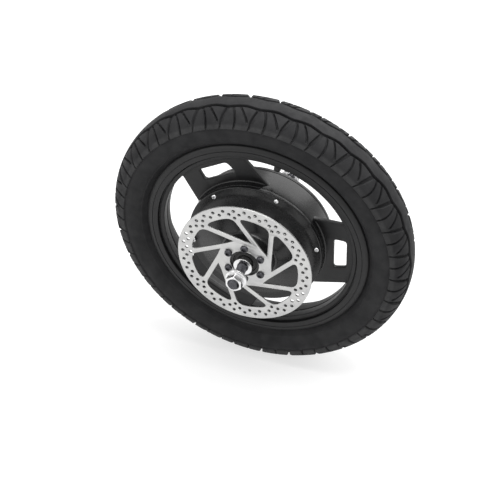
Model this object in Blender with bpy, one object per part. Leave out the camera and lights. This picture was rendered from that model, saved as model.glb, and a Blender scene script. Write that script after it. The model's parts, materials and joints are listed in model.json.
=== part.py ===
"""Hub motor wheel of a small electric bike: a cast three-spoke wheel with a motor in its drum.

Metres, +Z up. The origin is the wheel's centre, and the wheel spins about Y. The brake disc is at -Y.
"""

import math

import bmesh
import bpy
from mathutils import Matrix, Vector

# Clearances
GAP = 0.0003
AIR_GAP = 0.0007
HOLE_PLAY = 0.0003

# Facets round a full turn. The wheel's walls have one for each pitch of the tread.
TREAD_PITCHES = 30
WHEEL_SIDES = TREAD_PITCHES
DRUM_SIDES = 30
DISC_SIDES = 60
SHAFT_SIDES = 16
SCREW_SIDES = 6
DISC_HOLE_SIDES = 6

# Tyre
TYRE_RADIUS = 0.180
TYRE_HALF_WIDTH = 0.030
TYRE_CROWN_HEIGHT = 0.024
TYRE_CROWN_THICKNESS = 0.0085
TYRE_WALL_THICKNESS = 0.0045
TYRE_BEAD_WIDTH = 0.0045

# Tread grooves, which run from the crown to the shoulders and lean as they go
TREAD_LEAN = math.radians(3)
TREAD_INNER_TURN = math.radians(20)
TREAD_OUTER_TURN = math.radians(78)
GROOVE_WIDTH = 0.0045
GROOVE_DEPTH = 0.0034
GROOVE_END_DEPTH = 0.0015

# Rim of the casting
BEAD_SEAT_RADIUS = 0.127
FLANGE_HEIGHT = 0.0068
FLANGE_THICKNESS = 0.003
RIM_HALF_WIDTH = 0.0205
WELL_DEPTH = 0.009
WELL_HALF_WIDTH = 0.0055
WELL_CENTRE_Y = -0.0065
WELL_SIDE_RUN = 0.0035
WELL_WALL = 0.0045
RIM_LAND_CENTRE_Y = -0.011
RIM_LAND_HALF_WIDTH = 0.010
RIM_LAND_STEP = 0.001
LEFT_LIP_DEPTH = 0.0063
LEFT_LIP_OVERHANG = 0.005
RIGHT_BARREL_WALL = 0.003
RIGHT_FLARE_LENGTH = 0.010
RIGHT_FLARE_END = 0.0065

# Spokes of the casting
SPOKE_COUNT = 3
SPOKE_THICKNESS = 0.0055
SPOKE_NEAR_FACE_Y = -0.0170
SPOKE_FOOT_WIDTH = 0.0978
SPOKE_TIP_WIDTH = 0.0843
SPOKE_FOOT_TURN = math.radians(-3.05)
SPOKE_TIP_TURN = math.radians(1.95)
WINDOW_LENGTH = 0.0155
WINDOW_TOP = 0.0216
WINDOW_NEAR_BOTTOM = -0.0206
WINDOW_FAR_BOTTOM = -0.0165
WINDOW_RIM_MARGIN = 0.0083
WINDOW_CORNER = 0.004

# Motor drum of the casting
MOTOR_CENTRE_Y = -0.0085
DRUM_WALL = 0.0087
DRUM_WIDTH = 0.032

# Motor covers
COVER_FLANGE = 0.0045
COVER_EDGE = 0.0012
COVER_LAND_WIDTH = 0.010
COVER_SPIGOT_DEPTH = 0.002
COVER_SPIGOT_WALL = 0.005
COVER_CONE_WALL = 0.0045
LEFT_BOSS_RADIUS = 0.030
LEFT_CONE_HEIGHT = 0.0187
RIGHT_BOSS_RADIUS = 0.024
RIGHT_CONE_HEIGHT = 0.0135
RIGHT_BOSS_LENGTH = 0.016
BEARING_HOUSING_WALL = 0.006
SEAL_BORE_RADIUS = 0.014

# Screws that hold the covers
COVER_SCREW_COUNT = 6
COVER_SCREW_INSET = 0.0048
COVER_SCREW_ANGLE = math.radians(10)
COVER_SCREW_RADIUS = 0.002
COVER_SCREW_HEAD_RADIUS = 0.0030
COVER_SCREW_HEAD_HEIGHT = 0.0024
COVER_SCREW_GRIP = 0.010

# Brake disc
DISC_RADIUS = 0.080
DISC_THICKNESS = 0.002
DISC_FRONT_Y = -0.0655
DISC_BAND_INNER_RADIUS = 0.0638
DISC_HUB_MARGIN = 0.0007
DISC_BORE_RADIUS = 0.0174
DISC_ARM_COUNT = 9
DISC_ARM_WIDTH = 0.0056
DISC_ARM_OFFSET = 0.0285
DISC_ARM_ANGLE = math.radians(20)
DISC_ROOT_CORNER = 0.0065
DISC_HOLES_PER_ARM = 4
DISC_HOLE_RADIUS = 0.002
DISC_OUTER_HOLE_CIRCLE = 0.0742
DISC_MIDDLE_HOLE_CIRCLE = 0.0697
DISC_ROOT_HOLE_CIRCLE = 0.0648

# Bolts that hold the brake disc
DISC_BOLT_COUNT = 6
DISC_BOLT_CIRCLE = 0.022
DISC_BOLT_ANGLE = math.radians(30)
DISC_BOLT_RADIUS = 0.0024
DISC_BOLT_HEAD_RADIUS = 0.0045
DISC_BOLT_HEAD_HEIGHT = 0.0028
DISC_BOLT_GRIP = 0.010

# Axle
AXLE_BODY_RADIUS = 0.010
AXLE_THREAD_RADIUS = 0.006
AXLE_FLAT_WIDTH = 0.010
AXLE_HALF_LENGTH = 0.106
DROPOUT_FACE_Y = 0.072
SLEEVE_WALL = 0.0022
SLEEVE_COLLAR_RADIUS = 0.011
SLEEVE_COLLAR_LENGTH = 0.003
CABLE_BORE_RADIUS = 0.0032
CABLE_PORT_OFFSET = 0.0075
GLAND_LENGTH = 0.0075
GLAND_WALL = 0.0013
GLAND_RECESS = 0.0005

# Axle nuts and washers
DROPOUT_GRIP = 0.019
WASHER_THICKNESS = 0.002
WASHER_RADIUS = 0.0120
NUT_HEIGHT = 0.010
NUT_FLANGE_RADIUS = 0.0124
NUT_FLANGE_HEIGHT = 0.0025
NUT_ACROSS_FLATS = 0.018

# Bearings
BEARING_BORE_RADIUS = 0.0085
BEARING_RADIUS = 0.0175
BEARING_WIDTH = 0.010
BEARING_SPACING = 0.075
BALL_COUNT = 8
BALL_RADIUS = 0.002
RACE_LIP_GAP = 0.0028
CAGE_WALL = 0.0014
CAGE_WIDTH = 0.0024
SEAL_WIDTH = 0.005
SEAL_RECESS = 0.001

# Stator and magnets
TOOTH_COUNT = 27
CORE_LENGTH = 0.026
TOOTH_TIP_RADIUS = 0.063
TOOTH_TIP_DEPTH = 0.0025
TOOTH_WIDTH = 0.0064
SLOT_MOUTH = 0.003
SLOT_DEPTH = 0.017
CORE_YOKE = 0.008
WINDING_OVERHANG = 0.0045
SPIDER_HUB_WALL = 0.006
SPIDER_RIM_WALL = 0.0045
SPIDER_LENGTH = 0.018
SPIDER_HOLE_COUNT = 6
SPIDER_HOLE_RADIUS = 0.0065
MAGNET_COUNT = 30
MAGNET_THICKNESS = 0.0028
MAGNET_FILL = 0.75
MAGNET_LENGTH = 0.027
YOKE_WALL = 0.0045
SENSOR_BOARD_WIDTH = 0.0055
SENSOR_BOARD_THICKNESS = 0.0016
SENSOR_BOARD_SPAN = math.radians(60)
SENSOR_BOARD_STEPS = 6

# Tyre valve
VALVE_ANGLE = math.radians(79)
VALVE_NECK_RADIUS = 0.0040
VALVE_BULB_RADIUS = 0.0052
VALVE_BULB_HEIGHT = 0.004
VALVE_COLLAR_RADIUS = 0.006
VALVE_COLLAR_HEIGHT = 0.003
VALVE_BODY_LENGTH = 0.006
VALVE_BODY_RADIUS = 0.0040
VALVE_STEM_RADIUS = 0.0026
VALVE_STEM_LENGTH = 0.005
VALVE_CAP_WALL = 0.0012
VALVE_CAP_END = 0.0015

# Places worked out from the sizes above
YOKE_BORE_RADIUS = TOOTH_TIP_RADIUS + AIR_GAP + MAGNET_THICKNESS
DRUM_BORE_RADIUS = YOKE_BORE_RADIUS + YOKE_WALL + GAP
DRUM_RADIUS = DRUM_BORE_RADIUS + DRUM_WALL
COVER_LAND_RADIUS = DRUM_RADIUS - COVER_LAND_WIDTH
COVER_SCREW_CIRCLE = DRUM_RADIUS - COVER_SCREW_INSET
DRUM_LEFT_Y = MOTOR_CENTRE_Y - DRUM_WIDTH / 2
DRUM_RIGHT_Y = MOTOR_CENTRE_Y + DRUM_WIDTH / 2
LEFT_FLANGE_Y = DRUM_LEFT_Y - GAP - COVER_FLANGE
RIGHT_FLANGE_Y = DRUM_RIGHT_Y + GAP + COVER_FLANGE
LEFT_BEARING_Y = MOTOR_CENTRE_Y - BEARING_SPACING / 2
RIGHT_BEARING_Y = MOTOR_CENTRE_Y + BEARING_SPACING / 2
DISC_BACK_Y = DISC_FRONT_Y + DISC_THICKNESS
LEFT_BOSS_Y = DISC_BACK_Y + GAP
FLANGE_RADIUS = BEAD_SEAT_RADIUS + FLANGE_HEIGHT
WELL_RADIUS = BEAD_SEAT_RADIUS - WELL_DEPTH
RIM_BORE_RADIUS = WELL_RADIUS - WELL_WALL
RIM_LEFT_Y = -RIM_HALF_WIDTH - LEFT_LIP_OVERHANG
RIM_RIGHT_Y = RIM_HALF_WIDTH + FLANGE_THICKNESS
SLEEVE_RADIUS = AXLE_THREAD_RADIUS + GAP + SLEEVE_WALL
BALL_CIRCLE = (BEARING_BORE_RADIUS + BEARING_RADIUS) / 2
WASHER_Y = DROPOUT_FACE_Y + DROPOUT_GRIP
NUT_Y = WASHER_Y + WASHER_THICKNESS + GAP
SLOT_FLOOR_RADIUS = TOOTH_TIP_RADIUS - SLOT_DEPTH
CORE_BORE_RADIUS = SLOT_FLOOR_RADIUS - CORE_YOKE


def clear_scene():
    for thing in list(bpy.data.objects):
        bpy.data.objects.remove(thing, do_unlink=True)


def material(name, colour, roughness, metallic):
    made = bpy.data.materials.new(name)
    made.use_nodes = True
    shader = made.node_tree.nodes["Principled BSDF"]
    shader.inputs["Base Color"].default_value = (*colour, 1)
    shader.inputs["Roughness"].default_value = roughness
    shader.inputs["Metallic"].default_value = metallic
    return made


def polar(radius, angle):
    return radius * math.cos(angle), radius * math.sin(angle)


def arc(radius, start, end, steps):
    """Points on a circle about the origin, from one angle to another."""
    return [polar(radius, start + (end - start) * i / steps) for i in range(steps + 1)]


def circle(radius, sides, centre=(0, 0)):
    turns = [2 * math.pi * i / sides for i in range(sides)]
    return [(centre[0] + radius * math.cos(t), centre[1] + radius * math.sin(t)) for t in turns]


def clear_of(radius, sides):
    """The corner radius of a polygon whose flats lie on this radius."""
    return radius / math.cos(math.pi / sides)


def turn_about_y(angle):
    """Turns +X towards +Z, as the angles round the wheel are counted."""
    return Matrix.Rotation(-angle, 4, "Y")


def finished(name, bm, finish, parent=None):
    """An object made from a bmesh, with its faces outward and its round faces smooth."""
    bmesh.ops.remove_doubles(bm, verts=bm.verts, dist=1e-6)
    bmesh.ops.recalc_face_normals(bm, faces=bm.faces)
    mesh = bpy.data.meshes.new(name)
    bm.to_mesh(mesh)
    bm.free()
    mesh.shade_smooth()
    mesh.set_sharp_from_angle(angle=math.radians(35))
    made = bpy.data.objects.new(name, mesh)
    bpy.context.collection.objects.link(made)
    made.parent = parent
    if finish:
        mesh.materials.append(finish)
    return made


def turned_bmesh(profile, sides, ring=True):
    """A profile of (radius, y) points spun about Y. A ring's profile closes on itself."""
    bm = bmesh.new()
    verts = [bm.verts.new((radius, y, 0)) for radius, y in profile]
    edges = [bm.edges.new(pair) for pair in zip(verts, verts[1:])]
    if ring:
        edges.append(bm.edges.new((verts[-1], verts[0])))
    bmesh.ops.spin(
        bm,
        geom=verts + edges,
        cent=(0, 0, 0),
        axis=(0, 1, 0),
        angle=2 * math.pi,
        steps=sides,
        use_merge=True,
    )
    return bm


def turned(name, profile, sides, finish, parent=None, ring=True):
    return finished(name, turned_bmesh(profile, sides, ring), finish, parent)


def plate_bmesh(outlines, low_y, high_y):
    """Outlines in X and Z, filled with their holes left open, and extruded along Y."""
    curve = bpy.data.curves.new("outline", "CURVE")
    curve.dimensions = "2D"
    curve.fill_mode = "BOTH"
    curve.extrude = (high_y - low_y) / 2
    for points in outlines:
        spline = curve.splines.new("POLY")
        spline.points.add(len(points) - 1)
        spline.use_cyclic_u = True
        for point, (x, z) in zip(spline.points, points):
            point.co = (x, z, 0, 1)
    guide = bpy.data.objects.new("outline", curve)
    bpy.context.collection.objects.link(guide)
    bpy.context.view_layer.update()
    graph = bpy.context.evaluated_depsgraph_get()
    mesh = bpy.data.meshes.new_from_object(guide.evaluated_get(graph))
    bpy.data.objects.remove(guide, do_unlink=True)
    bm = bmesh.new()
    bm.from_mesh(mesh)
    bpy.data.meshes.remove(mesh)
    middle = Vector((0, (low_y + high_y) / 2, 0))
    bm.transform(Matrix.Translation(middle) @ Matrix.Rotation(math.pi / 2, 4, "X"))
    return bm


def plate(name, outlines, low_y, high_y, finish, parent=None):
    return finished(name, plate_bmesh(outlines, low_y, high_y), finish, parent)


def cutter(name, bmeshes):
    """A helper made of several closed shapes, for a Boolean. It isn't part of the wheel."""
    whole = bmesh.new()
    for bm in bmeshes:
        mesh = bpy.data.meshes.new(name)
        bm.to_mesh(mesh)
        bm.free()
        whole.from_mesh(mesh)
        bpy.data.meshes.remove(mesh)
    made = finished(name, whole, None)
    made.hide_render = True
    made.display_type = "WIRE"
    return made


def combine(target, other, operation):
    modifier = target.modifiers.new(other.name, "BOOLEAN")
    modifier.operation = operation
    modifier.object = other


def peg_bmesh(radius, low_y, high_y, centre=(0, 0), sides=SCREW_SIDES):
    """A straight round peg along Y at a place (x, z), for holes."""
    profile = [(0, low_y), (radius, low_y), (radius, high_y), (0, high_y)]
    bm = turned_bmesh(profile, sides, ring=False)
    bm.transform(Matrix.Translation((centre[0], 0, centre[1])))
    return bm


def box_bmesh(low, high):
    bm = bmesh.new()
    bmesh.ops.create_cube(bm, size=1)
    low, high = Vector(low), Vector(high)
    bm.transform(Matrix.Translation((low + high) / 2) @ Matrix.Diagonal((*(high - low), 1)))
    return bm


def screw_places(count, circle_radius, first_angle):
    return [polar(circle_radius, first_angle + 2 * math.pi * i / count) for i in range(count)]


def screws(name, places, seat_y, side, shank, head, grip, finish, parent):
    """Numbered screws along Y with their heads on the seat. side is -1 for a head at -Y."""
    head_radius, head_height = head
    for number, (x, z) in enumerate(places, 1):
        near = seat_y + side * GAP
        top = near + side * head_height
        end = seat_y - side * grip
        profile = [(0, top), (head_radius, top), (head_radius, near), (shank, near), (shank, end), (0, end)]
        made = turned(f"{name}_{number}", profile, SCREW_SIDES, finish, parent, ring=False)
        made.location = (x, 0, z)


def axle(finish, parent):
    """A stepped shaft with threaded ends, flats for the dropouts and a bore for the motor lead."""
    left_shoulder = LEFT_BEARING_Y + BEARING_WIDTH / 2 + GAP
    right_shoulder = RIGHT_BEARING_Y - BEARING_WIDTH / 2 - GAP
    left_step = LEFT_BEARING_Y - BEARING_WIDTH / 2
    right_step = RIGHT_BEARING_Y + BEARING_WIDTH / 2
    chamfer = AXLE_THREAD_RADIUS * 0.15
    profile = [
        (0, -AXLE_HALF_LENGTH),
        (AXLE_THREAD_RADIUS - chamfer, -AXLE_HALF_LENGTH),
        (AXLE_THREAD_RADIUS, -AXLE_HALF_LENGTH + chamfer),
        (AXLE_THREAD_RADIUS, left_step),
        (BEARING_BORE_RADIUS, left_step),
        (BEARING_BORE_RADIUS, left_shoulder),
        (AXLE_BODY_RADIUS, left_shoulder),
        (AXLE_BODY_RADIUS, right_shoulder),
        (BEARING_BORE_RADIUS, right_shoulder),
        (BEARING_BORE_RADIUS, right_step),
        (AXLE_THREAD_RADIUS, right_step),
        (AXLE_THREAD_RADIUS, AXLE_HALF_LENGTH - chamfer),
        (AXLE_THREAD_RADIUS - chamfer, AXLE_HALF_LENGTH),
        (0, AXLE_HALF_LENGTH),
    ]
    made = turned("axle", profile, SHAFT_SIDES, finish, parent, ring=False)
    flats = []
    past = 2 * AXLE_THREAD_RADIUS
    for side in (-1, 1):
        for way in (-1, 1):
            ends = sorted((side * DROPOUT_FACE_Y, side * (AXLE_HALF_LENGTH + past)))
            edges = sorted((way * AXLE_FLAT_WIDTH / 2, way * past))
            flats.append(box_bmesh((edges[0], ends[0], -past), (edges[1], ends[1], past)))
    combine(made, cutter("axle_flats", flats), "DIFFERENCE")
    port_y = right_shoulder - CABLE_PORT_OFFSET
    bore_end = port_y - 1.5 * CABLE_BORE_RADIUS
    bore = peg_bmesh(CABLE_BORE_RADIUS, bore_end, AXLE_HALF_LENGTH + past, sides=SHAFT_SIDES // 2)
    combine(made, cutter("cable_bore", [bore]), "DIFFERENCE")
    port = peg_bmesh(CABLE_BORE_RADIUS * 0.7, -CABLE_BORE_RADIUS * 0.3, 2 * AXLE_BODY_RADIUS)
    facet_middle = turn_about_y(math.pi / SHAFT_SIDES)
    place = Matrix.Translation((0, port_y, 0)) @ facet_middle
    port.transform(place @ Matrix.Rotation(math.pi / 2, 4, "X"))
    combine(made, cutter("cable_port", [port]), "DIFFERENCE")


def cable_gland(finish, parent):
    outer = CABLE_BORE_RADIUS - GAP
    end_y = AXLE_HALF_LENGTH - GLAND_RECESS
    start_y = end_y - GLAND_LENGTH
    inner = outer - GLAND_WALL
    profile = [(outer, start_y), (outer, end_y), (inner, end_y), (inner, start_y)]
    turned("cable_gland", profile, SHAFT_SIDES // 2, finish, parent)


def axle_sleeve(name, bearing_y, side, finish, parent):
    """A tube from the bearing's inner race to the dropout, with a collar that the dropout rests on."""
    inner = AXLE_THREAD_RADIUS + GAP
    start = bearing_y + side * (BEARING_WIDTH / 2 + GAP)
    end = side * DROPOUT_FACE_Y
    collar = end - side * SLEEVE_COLLAR_LENGTH
    profile = [
        (inner, start),
        (SLEEVE_RADIUS, start),
        (SLEEVE_RADIUS, collar),
        (SLEEVE_COLLAR_RADIUS, collar),
        (SLEEVE_COLLAR_RADIUS, end),
        (inner, end),
    ]
    turned(name, profile, SHAFT_SIDES, finish, parent)


def axle_washer(name, side, finish, parent):
    inner = AXLE_THREAD_RADIUS + GAP
    ends = (side * WASHER_Y, side * (WASHER_Y + WASHER_THICKNESS))
    profile = [(inner, ends[0]), (WASHER_RADIUS, ends[0]), (WASHER_RADIUS, ends[1]), (inner, ends[1])]
    turned(name, profile, SHAFT_SIDES, finish, parent)


def axle_nut(name, side, finish, parent):
    """A hexagon nut with a sloped flange."""
    bore = AXLE_THREAD_RADIUS + GAP
    corner = NUT_ACROSS_FLATS / math.sqrt(3)
    base = side * NUT_Y
    top = side * (NUT_Y + NUT_HEIGHT)
    middle = side * (NUT_Y + NUT_FLANGE_HEIGHT / 2)
    waist = side * (NUT_Y + NUT_FLANGE_HEIGHT)
    flange_profile = [
        (bore, base),
        (NUT_FLANGE_RADIUS, base),
        (NUT_FLANGE_RADIUS, middle),
        (corner * 0.9, waist),
        (bore, waist),
    ]
    made = turned(name, flange_profile, SHAFT_SIDES, finish, parent)
    outlines = [circle(corner, 6), circle(bore, SHAFT_SIDES)]
    hexagon = plate_bmesh(outlines, *sorted((middle, top)))
    combine(made, cutter(f"{name}_hexagon", [hexagon]), "UNION")


def race_lips():
    """The radii of the inner and the outer race beside the balls."""
    return BALL_CIRCLE - RACE_LIP_GAP / 2, BALL_CIRCLE + RACE_LIP_GAP / 2


def bearing_race(name, bearing_y, wall, lip, groove, finish, parent):
    """One race, with a groove for the balls. wall is the radius away from the balls."""
    half = BEARING_WIDTH / 2
    profile = [
        (wall, bearing_y - half),
        (lip, bearing_y - half),
        (groove, bearing_y),
        (lip, bearing_y + half),
        (wall, bearing_y + half),
    ]
    turned(name, profile, SHAFT_SIDES, finish, parent)


def ball_cage(name, bearing_y, finish, parent):
    """The balls, held a pitch apart by a thin cage, as one ring of six-sided sections."""
    wide = BALL_RADIUS * math.cos(math.pi / 6)
    cage = (CAGE_WALL / 2, CAGE_WIDTH / 2)
    sections = ((-wide, cage), (-BALL_RADIUS / 2, (wide, wide)), (BALL_RADIUS / 2, (wide, wide)), (wide, cage))
    bm = bmesh.new()
    rings = []
    for ball in range(BALL_COUNT):
        for along, (across, deep) in sections:
            angle = 2 * math.pi * ball / BALL_COUNT + along / BALL_CIRCLE
            ring = []
            for x, y in circle(1, 6):
                px, pz = polar(BALL_CIRCLE + across * x, angle)
                ring.append(bm.verts.new((px, bearing_y + deep * y, pz)))
            rings.append(ring)
    for ring, following in zip(rings, rings[1:] + rings[:1]):
        for i in range(6):
            j = (i + 1) % 6
            bm.faces.new((ring[i], ring[j], following[j], following[i]))
    finished(name, bm, finish, parent)


def bearing(side_name, bearing_y, steel, brass, axle_frame, wheel_frame, cage_frame):
    inner_lip, outer_lip = race_lips()
    deep = BALL_RADIUS + GAP
    bore = BEARING_BORE_RADIUS + GAP
    bearing_race(
        f"{side_name}_bearing_inner_race", bearing_y, bore, inner_lip, BALL_CIRCLE - deep, steel, axle_frame
    )
    bearing_race(
        f"{side_name}_bearing_outer_race",
        bearing_y,
        BEARING_RADIUS,
        outer_lip,
        clear_of(BALL_CIRCLE + deep, SHAFT_SIDES),
        steel,
        wheel_frame,
    )
    ball_cage(f"{side_name}_ball_cage", bearing_y, brass, cage_frame)


def seal(name, outer_y, side, finish, parent):
    """A lip seal in the mouth of a cover's boss. It runs on the axle sleeve."""
    inner = SLEEVE_RADIUS + GAP
    outer = SEAL_BORE_RADIUS - GAP
    front = outer_y - side * SEAL_RECESS
    back = front - side * SEAL_WIDTH
    profile = [(outer, front), (inner + SLEEVE_WALL, front), (inner, back), (outer, back)]
    turned(name, profile, SHAFT_SIDES, finish, parent)


def stator_core(finish, parent):
    """Laminations: teeth with wide tips round a yoke."""
    outline = []
    tip_floor = TOOTH_TIP_RADIUS - TOOTH_TIP_DEPTH
    tip_half = math.pi / TOOTH_COUNT - SLOT_MOUTH / 2 / TOOTH_TIP_RADIUS
    floor_half = math.asin(TOOTH_WIDTH / 2 / SLOT_FLOOR_RADIUS)
    neck_half = math.asin(TOOTH_WIDTH / 2 / tip_floor)
    for tooth in range(TOOTH_COUNT):
        middle = 2 * math.pi * tooth / TOOTH_COUNT
        outline.append(polar(SLOT_FLOOR_RADIUS, middle - floor_half))
        outline.append(polar(tip_floor, middle - neck_half))
        outline.append(polar(TOOTH_TIP_RADIUS, middle - tip_half))
        outline.append(polar(TOOTH_TIP_RADIUS, middle + tip_half))
        outline.append(polar(tip_floor, middle + neck_half))
        outline.append(polar(SLOT_FLOOR_RADIUS, middle + floor_half))
    bore = circle(clear_of(CORE_BORE_RADIUS, DRUM_SIDES), DRUM_SIDES)
    half = CORE_LENGTH / 2
    plate("stator_core", [outline, bore], MOTOR_CENTRE_Y - half, MOTOR_CENTRE_Y + half, finish, parent)


def stator_winding(finish, parent):
    """The copper: a bar in each slot, joined by end turns past both ends of the core."""
    inner = SLOT_FLOOR_RADIUS + 2 * GAP
    outer = TOOTH_TIP_RADIUS - TOOTH_TIP_DEPTH - 2 * GAP
    half = CORE_LENGTH / 2 + WINDING_OVERHANG
    low = MOTOR_CENTRE_Y - half
    high = MOTOR_CENTRE_Y + half
    floor = clear_of(inner, TOOTH_COUNT)
    profile = [(floor, low), (outer, low), (outer, high), (floor, high)]
    ring = turned_bmesh(profile, TOOTH_COUNT)
    ring.transform(turn_about_y(math.pi / TOOTH_COUNT))
    made = finished("stator_winding", ring, finish, parent)
    teeth = []
    reach = SLOT_DEPTH / 2
    width = TOOTH_WIDTH / 2 + GAP
    length = CORE_LENGTH / 2 + GAP
    for tooth in range(TOOTH_COUNT):
        box = box_bmesh(
            (inner - reach, MOTOR_CENTRE_Y - length, -width), (outer + reach, MOTOR_CENTRE_Y + length, width)
        )
        box.transform(turn_about_y(2 * math.pi * tooth / TOOTH_COUNT))
        teeth.append(box)
    combine(made, cutter("winding_teeth", teeth), "DIFFERENCE")


def stator_spider(finish, parent):
    """The carrier between the axle and the laminations, with lightening holes."""
    outer = CORE_BORE_RADIUS - GAP
    bore = AXLE_BODY_RADIUS + GAP
    middle = (bore + SPIDER_HUB_WALL + outer - SPIDER_RIM_WALL) / 2
    outlines = [circle(outer, DRUM_SIDES), circle(clear_of(bore, SHAFT_SIDES), SHAFT_SIDES)]
    for place in screw_places(SPIDER_HOLE_COUNT, middle, 0):
        outlines.append(circle(SPIDER_HOLE_RADIUS, SHAFT_SIDES // 2, place))
    half = SPIDER_LENGTH / 2
    plate("stator_spider", outlines, MOTOR_CENTRE_Y - half, MOTOR_CENTRE_Y + half, finish, parent)


def hall_sensor_board(finish, parent):
    """A curved circuit board on the left face of the core, inside the end turns."""
    outer = SLOT_FLOOR_RADIUS - GAP
    inner = outer - SENSOR_BOARD_WIDTH
    start = math.pi / 2 - SENSOR_BOARD_SPAN / 2
    end = math.pi / 2 + SENSOR_BOARD_SPAN / 2
    outline = arc(inner, start, end, SENSOR_BOARD_STEPS) + arc(outer, end, start, SENSOR_BOARD_STEPS)
    back = MOTOR_CENTRE_Y - CORE_LENGTH / 2 - GAP
    plate("hall_sensor_board", [outline], back - SENSOR_BOARD_THICKNESS, back, finish, parent)


def magnet_ring(finish, parent):
    """A steel yoke with the magnets bonded round its inside."""
    outer = DRUM_BORE_RADIUS - GAP
    face = TOOTH_TIP_RADIUS + AIR_GAP
    pitch = 2 * math.pi / MAGNET_COUNT
    half_span = pitch * MAGNET_FILL / 2
    inside = []
    for magnet in range(MAGNET_COUNT):
        middle = pitch * magnet
        inside.append(polar(YOKE_BORE_RADIUS, middle - half_span))
        inside.append(polar(face / math.cos(half_span), middle - half_span))
        inside.append(polar(face / math.cos(half_span), middle + half_span))
        inside.append(polar(YOKE_BORE_RADIUS, middle + half_span))
    half = MAGNET_LENGTH / 2
    outlines = [circle(outer, DRUM_SIDES), inside]
    plate("magnet_ring", outlines, MOTOR_CENTRE_Y - half, MOTOR_CENTRE_Y + half, finish, parent)


def cover_profile(side, flange_y, cone_height, boss_radius, boss_y, bearing_y):
    """Half section of a motor cover. side is -1 for the left cover, whose outside faces -Y."""
    out = side
    spigot = DRUM_BORE_RADIUS - GAP
    seat = flange_y - out * COVER_FLANGE
    spigot_end = seat - out * COVER_SPIGOT_DEPTH
    cone_y = flange_y + out * cone_height
    slope = cone_height / (COVER_LAND_RADIUS - boss_radius)
    spigot_bore = spigot - COVER_SPIGOT_WALL
    bearing_seat = BEARING_RADIUS + GAP
    housing = bearing_seat + BEARING_HOUSING_WALL
    mouth_y = bearing_y - out * BEARING_WIDTH / 2
    stop_y = bearing_y + out * (BEARING_WIDTH / 2 + GAP)

    def inside_y(radius):
        return flange_y + out * ((COVER_LAND_RADIUS - radius) * slope - COVER_CONE_WALL)

    return [
        (DRUM_RADIUS, seat),
        (DRUM_RADIUS, flange_y - out * COVER_EDGE),
        (DRUM_RADIUS - COVER_EDGE, flange_y),
        (COVER_LAND_RADIUS, flange_y),
        (boss_radius, cone_y),
        (boss_radius, boss_y),
        (SEAL_BORE_RADIUS, boss_y),
        (SEAL_BORE_RADIUS, stop_y),
        (bearing_seat, stop_y),
        (bearing_seat, mouth_y),
        (housing, mouth_y),
        (housing + COVER_CONE_WALL, inside_y(housing + COVER_CONE_WALL)),
        (spigot_bore, inside_y(spigot_bore)),
        (spigot_bore, spigot_end),
        (spigot, spigot_end),
        (spigot, seat),
    ]


def cover_screw_holes(name, flange_y, side):
    """Holes through a cover's flange and into the drum, for that cover's screws."""
    past = COVER_SCREW_HEAD_HEIGHT
    depth = COVER_SCREW_GRIP + GAP
    ends = sorted((flange_y + side * past, flange_y - side * depth))
    radius = COVER_SCREW_RADIUS + HOLE_PLAY
    places = screw_places(COVER_SCREW_COUNT, COVER_SCREW_CIRCLE, COVER_SCREW_ANGLE)
    return cutter(name, [peg_bmesh(radius, *ends, centre=place) for place in places])


def left_cover(finish, parent, screw_holes):
    """The cover on the brake side, with the boss that carries the disc."""
    profile = cover_profile(
        -1, LEFT_FLANGE_Y, LEFT_CONE_HEIGHT, LEFT_BOSS_RADIUS, LEFT_BOSS_Y, LEFT_BEARING_Y
    )
    made = turned("left_cover", profile, DRUM_SIDES, finish, parent)
    combine(made, screw_holes, "DIFFERENCE")
    radius = DISC_BOLT_RADIUS + HOLE_PLAY
    ends = (DISC_FRONT_Y, DISC_FRONT_Y + DISC_BOLT_GRIP + GAP)
    places = screw_places(DISC_BOLT_COUNT, DISC_BOLT_CIRCLE, DISC_BOLT_ANGLE)
    holes = cutter("disc_bolt_holes", [peg_bmesh(radius, *ends, centre=place) for place in places])
    combine(made, holes, "DIFFERENCE")


def right_cover(finish, parent, screw_holes):
    """The cover away from the brake."""
    boss_y = RIGHT_FLANGE_Y + RIGHT_CONE_HEIGHT + RIGHT_BOSS_LENGTH
    profile = cover_profile(1, RIGHT_FLANGE_Y, RIGHT_CONE_HEIGHT, RIGHT_BOSS_RADIUS, boss_y, RIGHT_BEARING_Y)
    made = turned("right_cover", profile, DRUM_SIDES, finish, parent)
    combine(made, screw_holes, "DIFFERENCE")


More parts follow.
